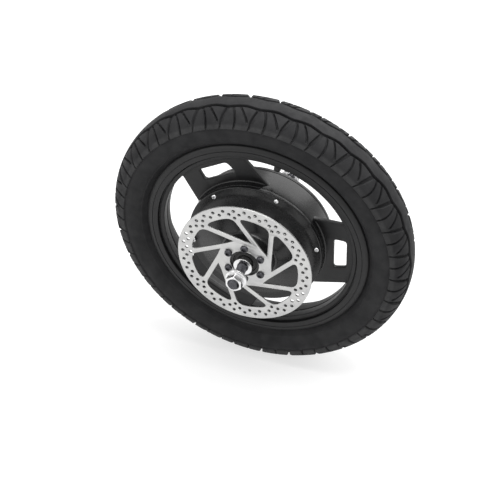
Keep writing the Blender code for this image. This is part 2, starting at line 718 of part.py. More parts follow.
def rim_profile():
    """Section of the rim: a well, two bead seats, two flanges, and a land inside that the spokes meet."""
    left_lip = BEAD_SEAT_RADIUS - LEFT_LIP_DEPTH
    barrel = BEAD_SEAT_RADIUS - RIGHT_BARREL_WALL
    well_left = WELL_CENTRE_Y - WELL_HALF_WIDTH
    well_right = WELL_CENTRE_Y + WELL_HALF_WIDTH
    land_left = RIM_LAND_CENTRE_Y - RIM_LAND_HALF_WIDTH
    land_right = RIM_LAND_CENTRE_Y + RIM_LAND_HALF_WIDTH

    def flange(side, end_y):
        return [
            (BEAD_SEAT_RADIUS, side * RIM_HALF_WIDTH),
            (FLANGE_RADIUS - FLANGE_THICKNESS / 2, side * (RIM_HALF_WIDTH + FLANGE_THICKNESS * 0.4)),
            (FLANGE_RADIUS, side * (RIM_HALF_WIDTH + FLANGE_THICKNESS * 0.7)),
            (FLANGE_RADIUS - FLANGE_THICKNESS / 2, end_y),
        ]

    return [
        (WELL_RADIUS, well_left),
        (WELL_RADIUS, well_right),
        (BEAD_SEAT_RADIUS, well_right + WELL_SIDE_RUN),
        *flange(1, RIM_RIGHT_Y),
        (FLANGE_RADIUS - FLANGE_THICKNESS, RIM_RIGHT_Y),
        (barrel, RIM_RIGHT_Y - RIGHT_FLARE_END),
        (barrel, land_right + RIGHT_FLARE_LENGTH),
        (RIM_BORE_RADIUS, land_right),
        (RIM_BORE_RADIUS, land_left),
        (left_lip, land_left - RIM_LAND_STEP),
        (left_lip, RIM_LEFT_Y),
        *reversed(flange(-1, RIM_LEFT_Y)),
        (BEAD_SEAT_RADIUS, well_left - WELL_SIDE_RUN),
    ]


def rounded_window(corners, radius, steps=3):
    """A four-sided outline in X and Z with round corners. Its corners are given from X towards Z."""
    points = []
    for i, corner in enumerate(corners):
        here = Vector(corner)
        back = (Vector(corners[i - 1]) - here).normalized()
        ahead = (Vector(corners[(i + 1) % len(corners)]) - here).normalized()
        half = back.angle(ahead) / 2
        middle = here + (back + ahead).normalized() * (radius / math.sin(half))
        out = here + back * (radius / math.tan(half)) - middle
        start = math.atan2(out.y, out.x)
        for x, z in arc(radius, start, start + math.pi - 2 * half, steps):
            points.append((middle.x + x, middle.y + z))
    return points


def spoke_bmesh(angle):
    """One broad spoke: a plate with a window, tapered and leaning, from inside the drum wall to inside the rim."""
    foot_radius = DRUM_RADIUS - DRUM_WALL / 2
    tip_radius = RIM_BORE_RADIUS + WELL_WALL / 2
    foot = math.asin(SPOKE_FOOT_WIDTH / 2 / foot_radius)
    tip = math.asin(SPOKE_TIP_WIDTH / 2 / tip_radius)
    outline = arc(foot_radius, SPOKE_FOOT_TURN + foot, SPOKE_FOOT_TURN - foot, 12)
    outline += arc(tip_radius, SPOKE_TIP_TURN - tip, SPOKE_TIP_TURN + tip, 6)
    far_x = RIM_BORE_RADIUS - WINDOW_RIM_MARGIN
    near_x = far_x - WINDOW_LENGTH
    corners = ((far_x, WINDOW_TOP), (near_x, WINDOW_TOP), (near_x, WINDOW_NEAR_BOTTOM), (far_x, WINDOW_FAR_BOTTOM))
    window = rounded_window(corners, WINDOW_CORNER)
    bm = plate_bmesh([outline, window], SPOKE_NEAR_FACE_Y, SPOKE_NEAR_FACE_Y + SPOKE_THICKNESS)
    bm.transform(turn_about_y(angle))
    return bm


def valve_place():
    """Takes a shape made along +Y to the valve's place, where +Y points from the axle outwards."""
    middle = Matrix.Translation((0, WELL_CENTRE_Y, 0))
    return middle @ turn_about_y(VALVE_ANGLE) @ Matrix.Rotation(-math.pi / 2, 4, "Z")


def wheel_casting(finish, parent, screw_holes):
    """Drum, spokes and rim in one casting."""
    profile = [
        (DRUM_BORE_RADIUS, DRUM_LEFT_Y),
        (DRUM_RADIUS, DRUM_LEFT_Y),
        (DRUM_RADIUS, DRUM_RIGHT_Y),
        (DRUM_BORE_RADIUS, DRUM_RIGHT_Y),
    ]
    made = turned("wheel_casting", profile, DRUM_SIDES, finish, parent)
    turns = [2 * math.pi * i / SPOKE_COUNT for i in range(SPOKE_COUNT)]
    combine(made, cutter("spokes", [spoke_bmesh(angle) for angle in turns]), "UNION")
    combine(made, cutter("rim", [turned_bmesh(rim_profile(), WHEEL_SIDES)]), "UNION")
    for holes in screw_holes:
        combine(made, holes, "DIFFERENCE")
    ends = (RIM_BORE_RADIUS - WELL_WALL, WELL_RADIUS + WELL_WALL)
    valve_hole = peg_bmesh(VALVE_NECK_RADIUS + HOLE_PLAY, *ends, sides=SHAFT_SIDES // 2)
    valve_hole.transform(valve_place())
    combine(made, cutter("valve_hole", [valve_hole]), "DIFFERENCE")


def tyre_wall():
    """Half section of the tyre from its widest part down to the bead, and back up inside to the crown."""
    seat = BEAD_SEAT_RADIUS + GAP
    heel_y = RIM_HALF_WIDTH - GAP
    widest = TYRE_RADIUS - TYRE_CROWN_HEIGHT
    wall_height = widest - FLANGE_RADIUS
    inner_height = TYRE_CROWN_HEIGHT - TYRE_CROWN_THICKNESS
    inner_half_width = TYRE_HALF_WIDTH - TYRE_WALL_THICKNESS
    return [
        (widest, TYRE_HALF_WIDTH),
        (FLANGE_RADIUS + wall_height * 0.3, TYRE_HALF_WIDTH * 0.93),
        (FLANGE_RADIUS + 2 * GAP, RIM_HALF_WIDTH + FLANGE_THICKNESS * 0.4 - 2 * GAP),
        (seat, heel_y),
        (seat, heel_y - TYRE_BEAD_WIDTH),
        (widest, inner_half_width),
        (widest + inner_height, inner_half_width * 0.5),
    ]


def tread_point(turn, depth, side, angle):
    """A point on the tyre's round crown, this deep in the tread. turn counts round the section."""
    along, out = polar(1, turn)
    normal = Vector((along / TYRE_CROWN_HEIGHT, out / TYRE_HALF_WIDTH)).normalized()
    radius = TYRE_RADIUS - TYRE_CROWN_HEIGHT * (1 - along) - depth * normal[0]
    x, z = polar(radius, angle)
    return x, side * (TYRE_HALF_WIDTH * out - depth * normal[1]), z


def groove_row(bm, side, inward, depth):
    """(left edge, floor, right edge) of every groove, at a share of the way from the shoulder inward."""
    turn = TREAD_OUTER_TURN + (TREAD_INNER_TURN - TREAD_OUTER_TURN) * inward
    half = GROOVE_WIDTH / 2 / TYRE_RADIUS
    pitch = 2 * math.pi / TREAD_PITCHES
    first = TREAD_LEAN * (1 - inward) - (pitch / 2 if side < 0 else 0)
    row = []
    for groove in range(TREAD_PITCHES):
        angle = first + groove * pitch
        edges = ((angle - half, 0), (angle, depth), (angle + half, 0))
        row.append([bm.verts.new(tread_point(turn, deep, side, place)) for place, deep in edges])
    return row


def tyre_half(bm, crown, side):
    """One side of the tyre from the crown's ring of vertices. Gives back its last ring inside."""
    rows = [groove_row(bm, side, 1, GROOVE_DEPTH), groove_row(bm, side, 0.5, GROOVE_DEPTH)]
    rows.append(groove_row(bm, side, 0, GROOVE_END_DEPTH))
    rings = []
    for radius, y in tyre_wall():
        rings.append([bm.verts.new((x, side * y, z)) for x, z in circle(radius, TREAD_PITCHES)])
    faces = []
    for this in range(TREAD_PITCHES):
        after = (this + 1) % TREAD_PITCHES
        start = 2 * this if side > 0 else 2 * this - 1
        groove_top, block_top, next_top = (crown[i % len(crown)] for i in (start, start + 1, start + 2))
        left, floor, right = rows[0][this]
        faces += [(groove_top, left, floor), (groove_top, floor, right), (groove_top, right, block_top)]
        faces += [(block_top, right, rows[0][after][0]), (block_top, rows[0][after][0], next_top)]
        for row, following in zip(rows, rows[1:]):
            near, far = row[this], following[this]
            faces += [(near[0], near[1], far[1], far[0]), (near[1], near[2], far[2], far[1])]
            faces.append((near[2], row[after][0], following[after][0], far[2]))
        left, floor, right = rows[-1][this]
        widest, next_widest = rings[0][this], rings[0][after]
        faces += [(left, floor, widest), (floor, right, widest)]
        faces.append((right, rows[-1][after][0], next_widest, widest))
        for ring, following in zip(rings, rings[1:]):
            faces.append((ring[this], ring[after], following[after], following[this]))
    for face in faces:
        bm.faces.new(face)
    return rings[-1]


def tyre(finish, parent):
    """A tubeless tyre with its tread. The grooves of its two sides are half a pitch apart."""
    bm = bmesh.new()
    crown = [bm.verts.new((x, 0, z)) for x, z in circle(TYRE_RADIUS, 2 * TREAD_PITCHES)]
    left, right = (tyre_half(bm, crown, side) for side in (-1, 1))
    for this in range(TREAD_PITCHES):
        after = (this + 1) % TREAD_PITCHES
        bm.faces.new((left[this], left[after], right[after], right[this]))
    finished("tyre", bm, finish, parent)


def valve(rubber, cap_finish, parent):
    """A snap-in valve through the rim's well, pointing at the axle, and its cap."""
    bulb = WELL_RADIUS + GAP
    collar = RIM_BORE_RADIUS * math.cos(math.pi / WHEEL_SIDES) - GAP
    body_end = collar - VALVE_COLLAR_HEIGHT - VALVE_BODY_LENGTH
    stem_end = body_end - VALVE_STEM_LENGTH
    profile = [
        (0, bulb + VALVE_BULB_HEIGHT),
        (VALVE_NECK_RADIUS, bulb + VALVE_BULB_HEIGHT),
        (VALVE_BULB_RADIUS, bulb + VALVE_BULB_HEIGHT / 2),
        (VALVE_BULB_RADIUS, bulb),
        (VALVE_NECK_RADIUS, bulb),
        (VALVE_NECK_RADIUS, collar),
        (VALVE_COLLAR_RADIUS, collar),
        (VALVE_COLLAR_RADIUS, collar - VALVE_COLLAR_HEIGHT / 2),
        (VALVE_BODY_RADIUS, collar - VALVE_COLLAR_HEIGHT),
        (VALVE_BODY_RADIUS, body_end),
        (VALVE_STEM_RADIUS, body_end),
        (VALVE_STEM_RADIUS, stem_end),
        (0, stem_end),
    ]
    stem = turned_bmesh(profile, SHAFT_SIDES // 2, ring=False)
    stem.transform(valve_place())
    finished("valve_stem", stem, rubber, parent)
    inner = VALVE_STEM_RADIUS + GAP
    outer = inner + VALVE_CAP_WALL
    mouth = body_end - GAP
    roof = stem_end - GAP
    cap_profile = [
        (0, roof - VALVE_CAP_END),
        (outer, roof - VALVE_CAP_END),
        (outer, mouth),
        (inner, mouth),
        (inner, roof),
        (0, roof),
    ]
    cap = turned_bmesh(cap_profile, SHAFT_SIDES // 2, ring=False)
    cap.transform(valve_place())
    finished("valve_cap", cap, cap_finish, parent)


def eased(before, corner, after):
    """Three points that round a corner of a brake disc opening."""

    def reach(other):
        share = DISC_ROOT_CORNER / math.dist(corner, other)
        return tuple(a + (b - a) * share for a, b in zip(corner, other))

    start, end = reach(before), reach(after)
    middle = tuple((a + 2 * b + c) / 4 for a, b, c in zip(start, corner, end))
    return [start, middle, end]


def disc_opening(angle):
    """The opening between two arms. The arms are straight and run past the disc's centre at an offset."""
    near = DISC_ARM_OFFSET - DISC_ARM_WIDTH / 2
    far = DISC_ARM_OFFSET + DISC_ARM_WIDTH / 2
    pitch = 2 * math.pi / DISC_ARM_COUNT
    foot = angle - math.acos(DISC_ARM_OFFSET / DISC_ROOT_HOLE_CIRCLE)
    bottom = far + DISC_HUB_MARGIN
    top = DISC_BAND_INNER_RADIUS
    start_low = foot + math.acos(near / bottom)
    start_high = foot + math.acos(near / top)
    end_low = foot + pitch + math.acos(far / bottom)
    end_high = foot + pitch + math.acos(far / top)
    ease = DISC_ROOT_CORNER / top
    hub = arc(bottom, end_low, start_low, 3)
    band = arc(top, start_high + ease, end_high - ease, 3)
    first = eased(hub[-1], polar(top, start_high), band[0])
    last = eased(band[-1], polar(top, end_high), hub[0])
    return hub + first + band[1:-1] + last


def brake_disc(finish, parent):
    """A pierced braking band on slanted arms, bolted to the left cover."""
    pitch = 2 * math.pi / DISC_ARM_COUNT
    hole_pitch = pitch / DISC_HOLES_PER_ARM
    outlines = [circle(DISC_RADIUS, DISC_SIDES), circle(DISC_BORE_RADIUS, SHAFT_SIDES)]
    for arm in range(DISC_ARM_COUNT):
        angle = DISC_ARM_ANGLE + arm * pitch
        outlines.append(disc_opening(angle))
        root = polar(DISC_ROOT_HOLE_CIRCLE, angle)
        outlines.append(circle(DISC_HOLE_RADIUS, DISC_HOLE_SIDES, root))
        for hole in range(DISC_HOLES_PER_ARM):
            outer = polar(DISC_OUTER_HOLE_CIRCLE, angle + hole * hole_pitch)
            middle = polar(DISC_MIDDLE_HOLE_CIRCLE, angle + (hole + 0.5) * hole_pitch)
            outlines.append(circle(DISC_HOLE_RADIUS, DISC_HOLE_SIDES, outer))
            outlines.append(circle(DISC_HOLE_RADIUS, DISC_HOLE_SIDES, middle))
    for place in screw_places(DISC_BOLT_COUNT, DISC_BOLT_CIRCLE, DISC_BOLT_ANGLE):
        outlines.append(circle(DISC_BOLT_RADIUS + HOLE_PLAY, SCREW_SIDES, place))
    plate("brake_disc", outlines, DISC_FRONT_Y, DISC_BACK_Y, finish, parent)


def frame(name):
    """An empty on the wheel's axis that carries the pieces which turn together."""
    made = bpy.data.objects.new(name, None)
    made.empty_display_size = AXLE_HALF_LENGTH
    bpy.context.collection.objects.link(made)
    return made


def main():
    clear_scene()
    rubber = material("tyre rubber", (0.020, 0.020, 0.021), 0.75, 0)
    black_alloy = material("black cast alloy", (0.018, 0.018, 0.020), 0.45, 0)
    steel = material("brushed steel", (0.62, 0.62, 0.61), 0.35, 1)
    zinc = material("zinc plated steel", (0.70, 0.70, 0.70), 0.25, 1)
    dark_steel = material("dark steel", (0.10, 0.10, 0.11), 0.45, 1)
    alloy = material("bare alloy", (0.55, 0.55, 0.56), 0.5, 1)
    copper = material("varnished copper", (0.45, 0.16, 0.06), 0.4, 1)
    laminations = material("electrical steel", (0.20, 0.20, 0.22), 0.5, 1)
    board = material("circuit board", (0.02, 0.12, 0.05), 0.5, 0)
    plastic = material("black plastic", (0.015, 0.015, 0.015), 0.5, 0)

    axle_frame = frame("axle_frame")
    wheel_frame = frame("wheel_frame")
    left_cage_frame = frame("left_cage_frame")
    right_cage_frame = frame("right_cage_frame")

    axle(steel, axle_frame)
    cable_gland(rubber, axle_frame)
    axle_sleeve("left_axle_sleeve", LEFT_BEARING_Y, -1, zinc, axle_frame)
    axle_sleeve("right_axle_sleeve", RIGHT_BEARING_Y, 1, zinc, axle_frame)
    for side_name, side in (("left", -1), ("right", 1)):
        axle_washer(f"{side_name}_axle_washer", side, zinc, axle_frame)
        axle_nut(f"{side_name}_axle_nut", side, zinc, axle_frame)
    stator_spider(alloy, axle_frame)
    stator_core(laminations, axle_frame)
    stator_winding(copper, axle_frame)
    hall_sensor_board(board, axle_frame)

    left_holes = cover_screw_holes("left_screw_holes", LEFT_FLANGE_Y, -1)
    right_holes = cover_screw_holes("right_screw_holes", RIGHT_FLANGE_Y, 1)
    wheel_casting(black_alloy, wheel_frame, (left_holes, right_holes))
    tyre(rubber, wheel_frame)
    valve(rubber, plastic, wheel_frame)
    magnet_ring(dark_steel, wheel_frame)
    left_cover(black_alloy, wheel_frame, left_holes)
    right_cover(black_alloy, wheel_frame, right_holes)
    right_boss_y = RIGHT_FLANGE_Y + RIGHT_CONE_HEIGHT + RIGHT_BOSS_LENGTH
    seal("left_seal", LEFT_BOSS_Y, -1, rubber, wheel_frame)
    seal("right_seal", right_boss_y, 1, rubber, wheel_frame)
    brake_disc(steel, wheel_frame)

    places = screw_places(COVER_SCREW_COUNT, COVER_SCREW_CIRCLE, COVER_SCREW_ANGLE)
    head = (COVER_SCREW_HEAD_RADIUS, COVER_SCREW_HEAD_HEIGHT)
    for side_name, side, flange_y in (("left", -1, LEFT_FLANGE_Y), ("right", 1, RIGHT_FLANGE_Y)):
        name = f"{side_name}_cover_screw"
        screws(name, places, flange_y, side, COVER_SCREW_RADIUS, head, COVER_SCREW_GRIP, zinc, wheel_frame)
    places = screw_places(DISC_BOLT_COUNT, DISC_BOLT_CIRCLE, DISC_BOLT_ANGLE)
    head = (DISC_BOLT_HEAD_RADIUS, DISC_BOLT_HEAD_HEIGHT)
    screws("disc_bolt", places, DISC_FRONT_Y, -1, DISC_BOLT_RADIUS, head, DISC_BOLT_GRIP, dark_steel, wheel_frame)

    bearing("left", LEFT_BEARING_Y, steel, alloy, axle_frame, wheel_frame, left_cage_frame)
    bearing("right", RIGHT_BEARING_Y, steel, alloy, axle_frame, wheel_frame, right_cage_frame)


main()
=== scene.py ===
"""Looks of the hub motor wheel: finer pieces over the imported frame, with materials, light and camera.

Metres, in the part's own frame: the wheel spins about Y, the brake disc is at -Y and +Z is up.
Angles round the wheel count from +X towards +Z.
"""

import json
from math import acos, asin, atan2, cos, dist, hypot, pi, radians, sin, sqrt, tan, tau

import bmesh
import bpy
from mathutils import Matrix, Vector

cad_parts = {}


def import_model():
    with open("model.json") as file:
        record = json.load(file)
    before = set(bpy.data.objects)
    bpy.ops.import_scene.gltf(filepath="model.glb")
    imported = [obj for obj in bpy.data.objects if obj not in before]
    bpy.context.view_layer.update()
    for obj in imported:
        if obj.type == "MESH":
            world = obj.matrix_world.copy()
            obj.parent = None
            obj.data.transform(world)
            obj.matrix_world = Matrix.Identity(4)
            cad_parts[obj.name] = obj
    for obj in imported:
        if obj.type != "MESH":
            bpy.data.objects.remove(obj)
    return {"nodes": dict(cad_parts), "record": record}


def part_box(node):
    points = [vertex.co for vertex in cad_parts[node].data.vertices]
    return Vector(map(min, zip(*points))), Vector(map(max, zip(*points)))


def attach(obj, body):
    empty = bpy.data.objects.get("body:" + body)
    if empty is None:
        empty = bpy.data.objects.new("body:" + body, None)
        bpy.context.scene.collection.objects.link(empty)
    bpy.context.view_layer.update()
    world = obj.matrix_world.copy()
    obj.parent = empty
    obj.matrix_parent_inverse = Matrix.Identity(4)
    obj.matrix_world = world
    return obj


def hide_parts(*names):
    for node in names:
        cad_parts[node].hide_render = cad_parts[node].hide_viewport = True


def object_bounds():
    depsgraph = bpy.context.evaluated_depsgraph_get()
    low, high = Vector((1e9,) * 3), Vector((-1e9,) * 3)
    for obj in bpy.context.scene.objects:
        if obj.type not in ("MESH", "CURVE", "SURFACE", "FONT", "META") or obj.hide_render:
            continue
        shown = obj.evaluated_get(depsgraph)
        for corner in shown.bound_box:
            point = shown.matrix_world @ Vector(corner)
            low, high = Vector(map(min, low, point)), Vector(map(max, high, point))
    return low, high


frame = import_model()
CAD_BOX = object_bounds()

# Facets round a full turn
WHEEL_SIDES = 240
HUB_SIDES = 144
SHAFT_SIDES = 72
SCREW_SIDES = 36
DISC_SIDES = 216

# Clearance between pieces, and the share of a side that a rounded corner may take
GAP = 0.0003
CORNER_LIMIT = 0.45

# Tyre section
TYRE_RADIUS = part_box("tyre")[1].x
TYRE_HALF_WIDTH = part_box("tyre")[1].y
TYRE_CROWN_HEIGHT = 0.024
TYRE_WIDEST_RADIUS = TYRE_RADIUS - TYRE_CROWN_HEIGHT
TYRE_WALL = 0.0045
TYRE_CROWN = 0.0085
BEAD_SEAT_RADIUS = 0.127
BEAD_HEEL_Y = 0.0199
BEAD_WIDTH = 0.0045
BEAD_TOP_RADIUS = 0.1344
BEAD_TOP_Y = 0.0206
RIM_LINE_RADIUS = 0.1392
RIM_LINE_HEIGHT = 0.0005

# Tread: offsets are shares of a pitch, and ways are shares of the run from the shoulder to the crown
TREAD_PITCHES = 30
TREAD_PITCH = tau / TREAD_PITCHES
TREAD_PHASE = radians(-3)
GROOVE_DEPTH = 0.0034
GROOVE_TOP_WIDTH = 0.0054
GROOVE_FLOOR_WIDTH = 0.0034
BLOCK_CHAMFER = 0.0004
BLOCK_STEP = 0.0016
STRAIGHT_LEAN = 0.25
STRAIGHT_NARROW = 0.45
STRAIGHT_WIDENS = (0.26, 0.38)
BRANCH_START = 0.33
BRANCH_DEEPENS = 0.06
BRANCH_SIDE = 0.135
BRANCH_CLIMB = 0.53
BRANCH_BEND = 1.3
BRANCH_WIDTH = 0.6
HOOK_START = 0.5
HOOK_CLIMB = 0.36
HOOK_WIDTH = 0.55
ZIGZAG = 3.0
SHOULDER_TURN = 78
SHOULDER_BAND = (0.1592, 0.1610, 0.1640, 0.1675)
CROWN_GROOVE_TURN = 18
# Half widths of that groove's floor, chamfer and top, in degrees
CROWN_GROOVE_SPREAD = (1.8, 3.4, 4.4)

# Rim of the casting
FLANGE_RADIUS = 0.1338
FLANGE_BACK_Y = 0.0217
FLANGE_TOP_Y = 0.0226
RIM_HALF_WIDTH = 0.0205
RIM_RIGHT_Y = 0.0235
WELL_RADIUS = 0.118
WELL_LEFT_Y = -0.012
WELL_RIGHT_Y = -0.001
WELL_SIDE_RUN = 0.0035
RIM_BORE_RADIUS = 0.1135
LAND_LEFT_Y = -0.0214
LAND_RIGHT_Y = -0.001
LAND_GROOVE_Y = -0.0110
LAND_GROOVE_WIDTH = 0.0020
LAND_GROOVE_DEPTH = 0.0012
MOAT_INNER_RADIUS = 0.1184
MOAT_OUTER_RADIUS = 0.1202
MOAT_FLOOR_Y = -0.0200
LIP_Y = -0.0249
LIP_LINE_RADIUS = 0.1266
LIP_LINE_WIDTH = 0.0007
FLANGE_EDGE_RADIUS = 0.1340
FLANGE_EDGE_Y = -0.0212
BARREL_RADIUS = 0.124

# Spokes of the casting
SPOKE_COUNT = 3
SPOKE_FRONT_Y = -0.0170
SPOKE_BACK_Y = -0.0115
SPOKE_EDGE = 0.0010
SPOKE_ROUND = 0.0014
SPOKE_ROUND_DEPTH = 0.0011
SPOKE_ROUND_STEPS = 10
SPOKE_BACK_INSET = 0.0003
SPOKE_BACK_CHAMFER = 0.0010
SPOKE_FOOT_WIDTH = 0.0978
SPOKE_FOOT_RADIUS = 0.07565
SPOKE_TIP_WIDTH = 0.0843
SPOKE_TIP_RADIUS = 0.11575
SPOKE_FOOT_TURN = radians(-3.05)
SPOKE_TIP_TURN = radians(1.95)
SPOKE_FOOT_FLARE = 0.0015
SPOKE_TIP_FLARE = 0.003
SPOKE_COVE = 0.0016
COVE_SUNK = 0.001
# A cove fades over this many times its size, down to this share
COVE_FADE = 4
COVE_END = 0.05
COVE_STEPS = 48
COVE_BOWS = 6
WINDOW_NEAR_X = 0.0897
WINDOW_FAR_X = 0.1052
WINDOW_TOP = 0.0216
WINDOW_NEAR_BOTTOM = -0.0206
WINDOW_FAR_BOTTOM = -0.0165
WINDOW_CORNER = 0.0045

# Motor drum and covers
DRUM_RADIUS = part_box("left_cover")[1].x
DRUM_BORE_RADIUS = 0.0713
DRUM_LEFT_Y = -0.0245
DRUM_RIGHT_Y = 0.0075
DRUM_EDGE = 0.0009
COVER_FLANGE = 0.0045
COVER_LAND_RADIUS = 0.070
COVER_INSIDE = 0.001
COVER_SPIGOT_RADIUS = DRUM_BORE_RADIUS - 0.002
LEFT_FLANGE_Y = DRUM_LEFT_Y - GAP - COVER_FLANGE
RIGHT_FLANGE_Y = DRUM_RIGHT_Y + GAP + COVER_FLANGE
LEFT_BOSS_RADIUS = 0.030
RIGHT_BOSS_RADIUS = 0.024
LEFT_BOSS_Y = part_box("left_cover")[0].y
RIGHT_BOSS_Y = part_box("right_cover")[1].y
LEFT_CONE_HEIGHT = 0.0187
RIGHT_CONE_HEIGHT = 0.0135
SEAL_BORE_RADIUS = 0.014
SEAL_DEPTH = 0.006
SEAL_RECESS = 0.001
SEAL_STEP = 0.0006
BEARING_POCKET_RADIUS = SEAL_BORE_RADIUS + 0.004
COVER_SCREW_CIRCLE = 0.0752
COVER_SCREW_ANGLE = radians(10)
COVER_SCREW_HEAD = (0.0030, 0.0024)
COVER_SCREW_SHANK = 0.002

# Brake disc
DISC_FRONT_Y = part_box("brake_disc")[0].y
DISC_BACK_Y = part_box("brake_disc")[1].y
DISC_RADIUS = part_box("brake_disc")[1].x
DISC_EDGE = 0.00025
DISC_BAND_INNER_RADIUS = 0.0638
DISC_HUB_RADIUS = 0.0320
DISC_BORE_RADIUS = 0.0174
DISC_ARM_COUNT = 9
DISC_ARM_PITCH = tau / DISC_ARM_COUNT
DISC_ARM_WIDTH = 0.0056
DISC_ARM_OFFSET = 0.0285
DISC_ARM_ANGLE = radians(20)
DISC_HOLES_PER_ARM = 4
DISC_HOLE_RADIUS = 0.002
DISC_HOLE_SIDES = 20
DISC_OUTER_HOLE_CIRCLE = 0.0742
DISC_MIDDLE_HOLE_CIRCLE = 0.0697
DISC_ROOT_HOLE_CIRCLE = 0.0648
DISC_OUTER_CORNER = 0.0075
DISC_INNER_CORNER = 0.0015
DISC_BOLT_CIRCLE = 0.022
DISC_BOLT_ANGLE = radians(30)
DISC_BOLT_HEAD = (0.0045, 0.0028)
DISC_BOLT_SHANK = 0.0024

# Screws: the head's shape is in shares of its radius and height
SCREWS_PER_RING = 6
SCREW_GRIP = 0.006
SCREW_HEAD_SHAPE = ((0.97, 0), (1, 0.12), (1, 0.35), (0.95, 0.58), (0.85, 0.80), (0.74, 0.95), (0.66, 1))

# Axle and what sits on it
AXLE_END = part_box("axle")[1].y
AXLE_THREAD_RADIUS = 0.006
AXLE_THREAD_PITCH = 0.00125
AXLE_THREAD_DEPTH = 0.0007
AXLE_THREAD_ROWS = 8
AXLE_THREAD_SLOPE = 2.4
AXLE_THREAD_CREST = 0.1
AXLE_FLAT_HALF = 0.005
AXLE_CHAMFER = 0.0009
AXLE_BODY_RADIUS = 0.010
BEARING_SEAT_RADIUS = 0.0085
LEFT_SEAT = (-0.051, -0.0407)
RIGHT_SEAT = (0.0237, 0.034)
CABLE_BORE_RADIUS = 0.0032
CABLE_BORE_DEPTH = 0.012
CENTRE_DRILL = 0.0015
DROPOUT_FACE_Y = 0.072
SLEEVE_RADIUS = 0.0085
SLEEVE_COLLAR_RADIUS = 0.011
SLEEVE_COLLAR_LENGTH = 0.003
WASHER_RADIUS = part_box("right_axle_washer")[1].x
WASHER_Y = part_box("right_axle_washer")[0].y
WASHER_THICKNESS = 0.002
WASHER_EDGE = 0.0004
NUT_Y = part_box("right_axle_nut")[0].y
NUT_HEIGHT = 0.010
NUT_FLANGE_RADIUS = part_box("right_axle_nut")[1].x
NUT_FLANGE_HEIGHT = 0.0025
NUT_ACROSS_FLATS = 0.018
NUT_CORNER_SHARE = 0.985
NUT_FACE_SHARE = 0.97
NUT_CHAMFER_STEPS = 5
NUT_EDGE = 0.0004
NUT_MOUTH = 0.0010

# Tyre valve
VALVE_ANGLE = radians(79)
VALVE_Y = -0.0065
VALVE_COLLAR_TOP = 0.1128
VALVE_COLLAR_RADIUS = 0.006
VALVE_COLLAR_HEIGHT = 0.003
VALVE_BODY_RADIUS = 0.004
VALVE_BODY_LENGTH = 0.006
VALVE_STEM_RADIUS = 0.0026
VALVE_STEM_LENGTH = 0.005
VALVE_BODY_END = VALVE_COLLAR_TOP - VALVE_COLLAR_HEIGHT - VALVE_BODY_LENGTH
VALVE_STEM_END = VALVE_BODY_END - VALVE_STEM_LENGTH
VALVE_CAP_RADIUS = 0.0041
VALVE_CAP_END = 0.0018
VALVE_CAP_RIBS = 16
VALVE_RIB_DEPTH = 0.00025
VALVE_CAP_BORE_DEPTH = 0.0030
VALVE_FOOT_HEIGHT = 0.004
VALVE_FOOT_LIP = 0.0012

# Finishes
NOISE_MIDDLE = (0.3, 0.7)
SATIN_RUN = 0.012
SATIN_ROUGHNESS = 0.24

# Camera and stage
CAMERA_AZIMUTH = radians(19.02)
CAMERA_ELEVATION = radians(40.13)
CAMERA_DISTANCE = 2.865
CAMERA_LENS = 179.6
CAMERA_SENSOR = 36
IMAGE_WIDTH = 500
WHEEL_CENTRE_PIXEL = (263.3, 228.3)
FLOOR_SIZE = 12
FLOOR_GREY = 0.50
FLOOR_GLOW = 0.62
WORLD_LIGHT = 0.5
# Name, place, size in metres and power in watts
LIGHTS = (
    ("overhead", (0.3, 0.2, 2.4), 1.8, 60),
    ("high_behind", (0.6, 2.2, 1.5), 2.4, 44),
    ("front_left", (-1.8, -2.2, 1.2), 1.4, 16),
)


def polar(radius, angle):
    return radius * cos(angle), radius * sin(angle)


def polar_at(radius, angle, y):
    """A point in space at this radius and angle round the wheel."""
    x, z = polar(radius, angle)
    return x, y, z


def angle_of(point):
    return atan2(point[1], point[0])


def arc(radius, start, end, steps):
    return [polar(radius, start + (end - start) * i / steps) for i in range(steps + 1)]


def turns(sides):
    return [tau * i / sides for i in range(sides)]


def circle(radius, sides, centre=(0, 0)):
    return [(centre[0] + radius * cos(t), centre[1] + radius * sin(t)) for t in turns(sides)]


def bend(start, corner, end, steps):
    """Points on a quadratic curve from start to end that heads for the corner."""
    points = []
    for i in range(steps + 1):
        t = i / steps
        weights = ((1 - t) ** 2, 2 * t * (1 - t), t * t)
        points.append(tuple(sum(w * p[k] for w, p in zip(weights, (start, corner, end))) for k in (0, 1)))
    return points


def towards(point, other, distance):
    """The point this far from one point on the way to another."""
    share = distance / dist(point, other)
    return tuple(a + (b - a) * share for a, b in zip(point, other))


def rounded(corners, steps=4):
    """A closed outline of (x, y, radius) corners with each corner eased by about that radius."""
    points = []
    count = len(corners)
    for i, (x, y, ease) in enumerate(corners):
        here = (x, y)
        before = corners[i - 1][:2]
        after = corners[(i + 1) % count][:2]
        if ease == 0:
            points.append(here)
            continue
        reach = min(ease, CORNER_LIMIT * dist(here, before), CORNER_LIMIT * dist(here, after))
        points += bend(towards(here, before, reach), here, towards(here, after, reach), steps)
    return points


def trimmed(points, start, end):
    """A line of points made shorter by these lengths at its two ends."""

    def cut(line, length):
        line = list(line)
        while len(line) > 2 and dist(line[0], line[1]) <= length:
            length -= dist(line[0], line[1])
            line.pop(0)
        return [towards(line[0], line[1], length), *line[1:]]

    return cut(cut(points, start)[::-1], end)[::-1]


def eased_loop(edges, trims, steps):
    """Lines that meet in a loop, with the corner after each line rounded over a trim length."""
    loop = []
    count = len(edges)
    for i, edge in enumerate(edges):
        after = edges[(i + 1) % count]
        line = trimmed(edge, trims[i - 1], trims[i])
        following = trimmed(after, trims[i], trims[(i + 1) % count])
        loop += line[:-1]
        loop += bend(line[-1], edge[-1], following[0], steps)[:-1]
    return loop


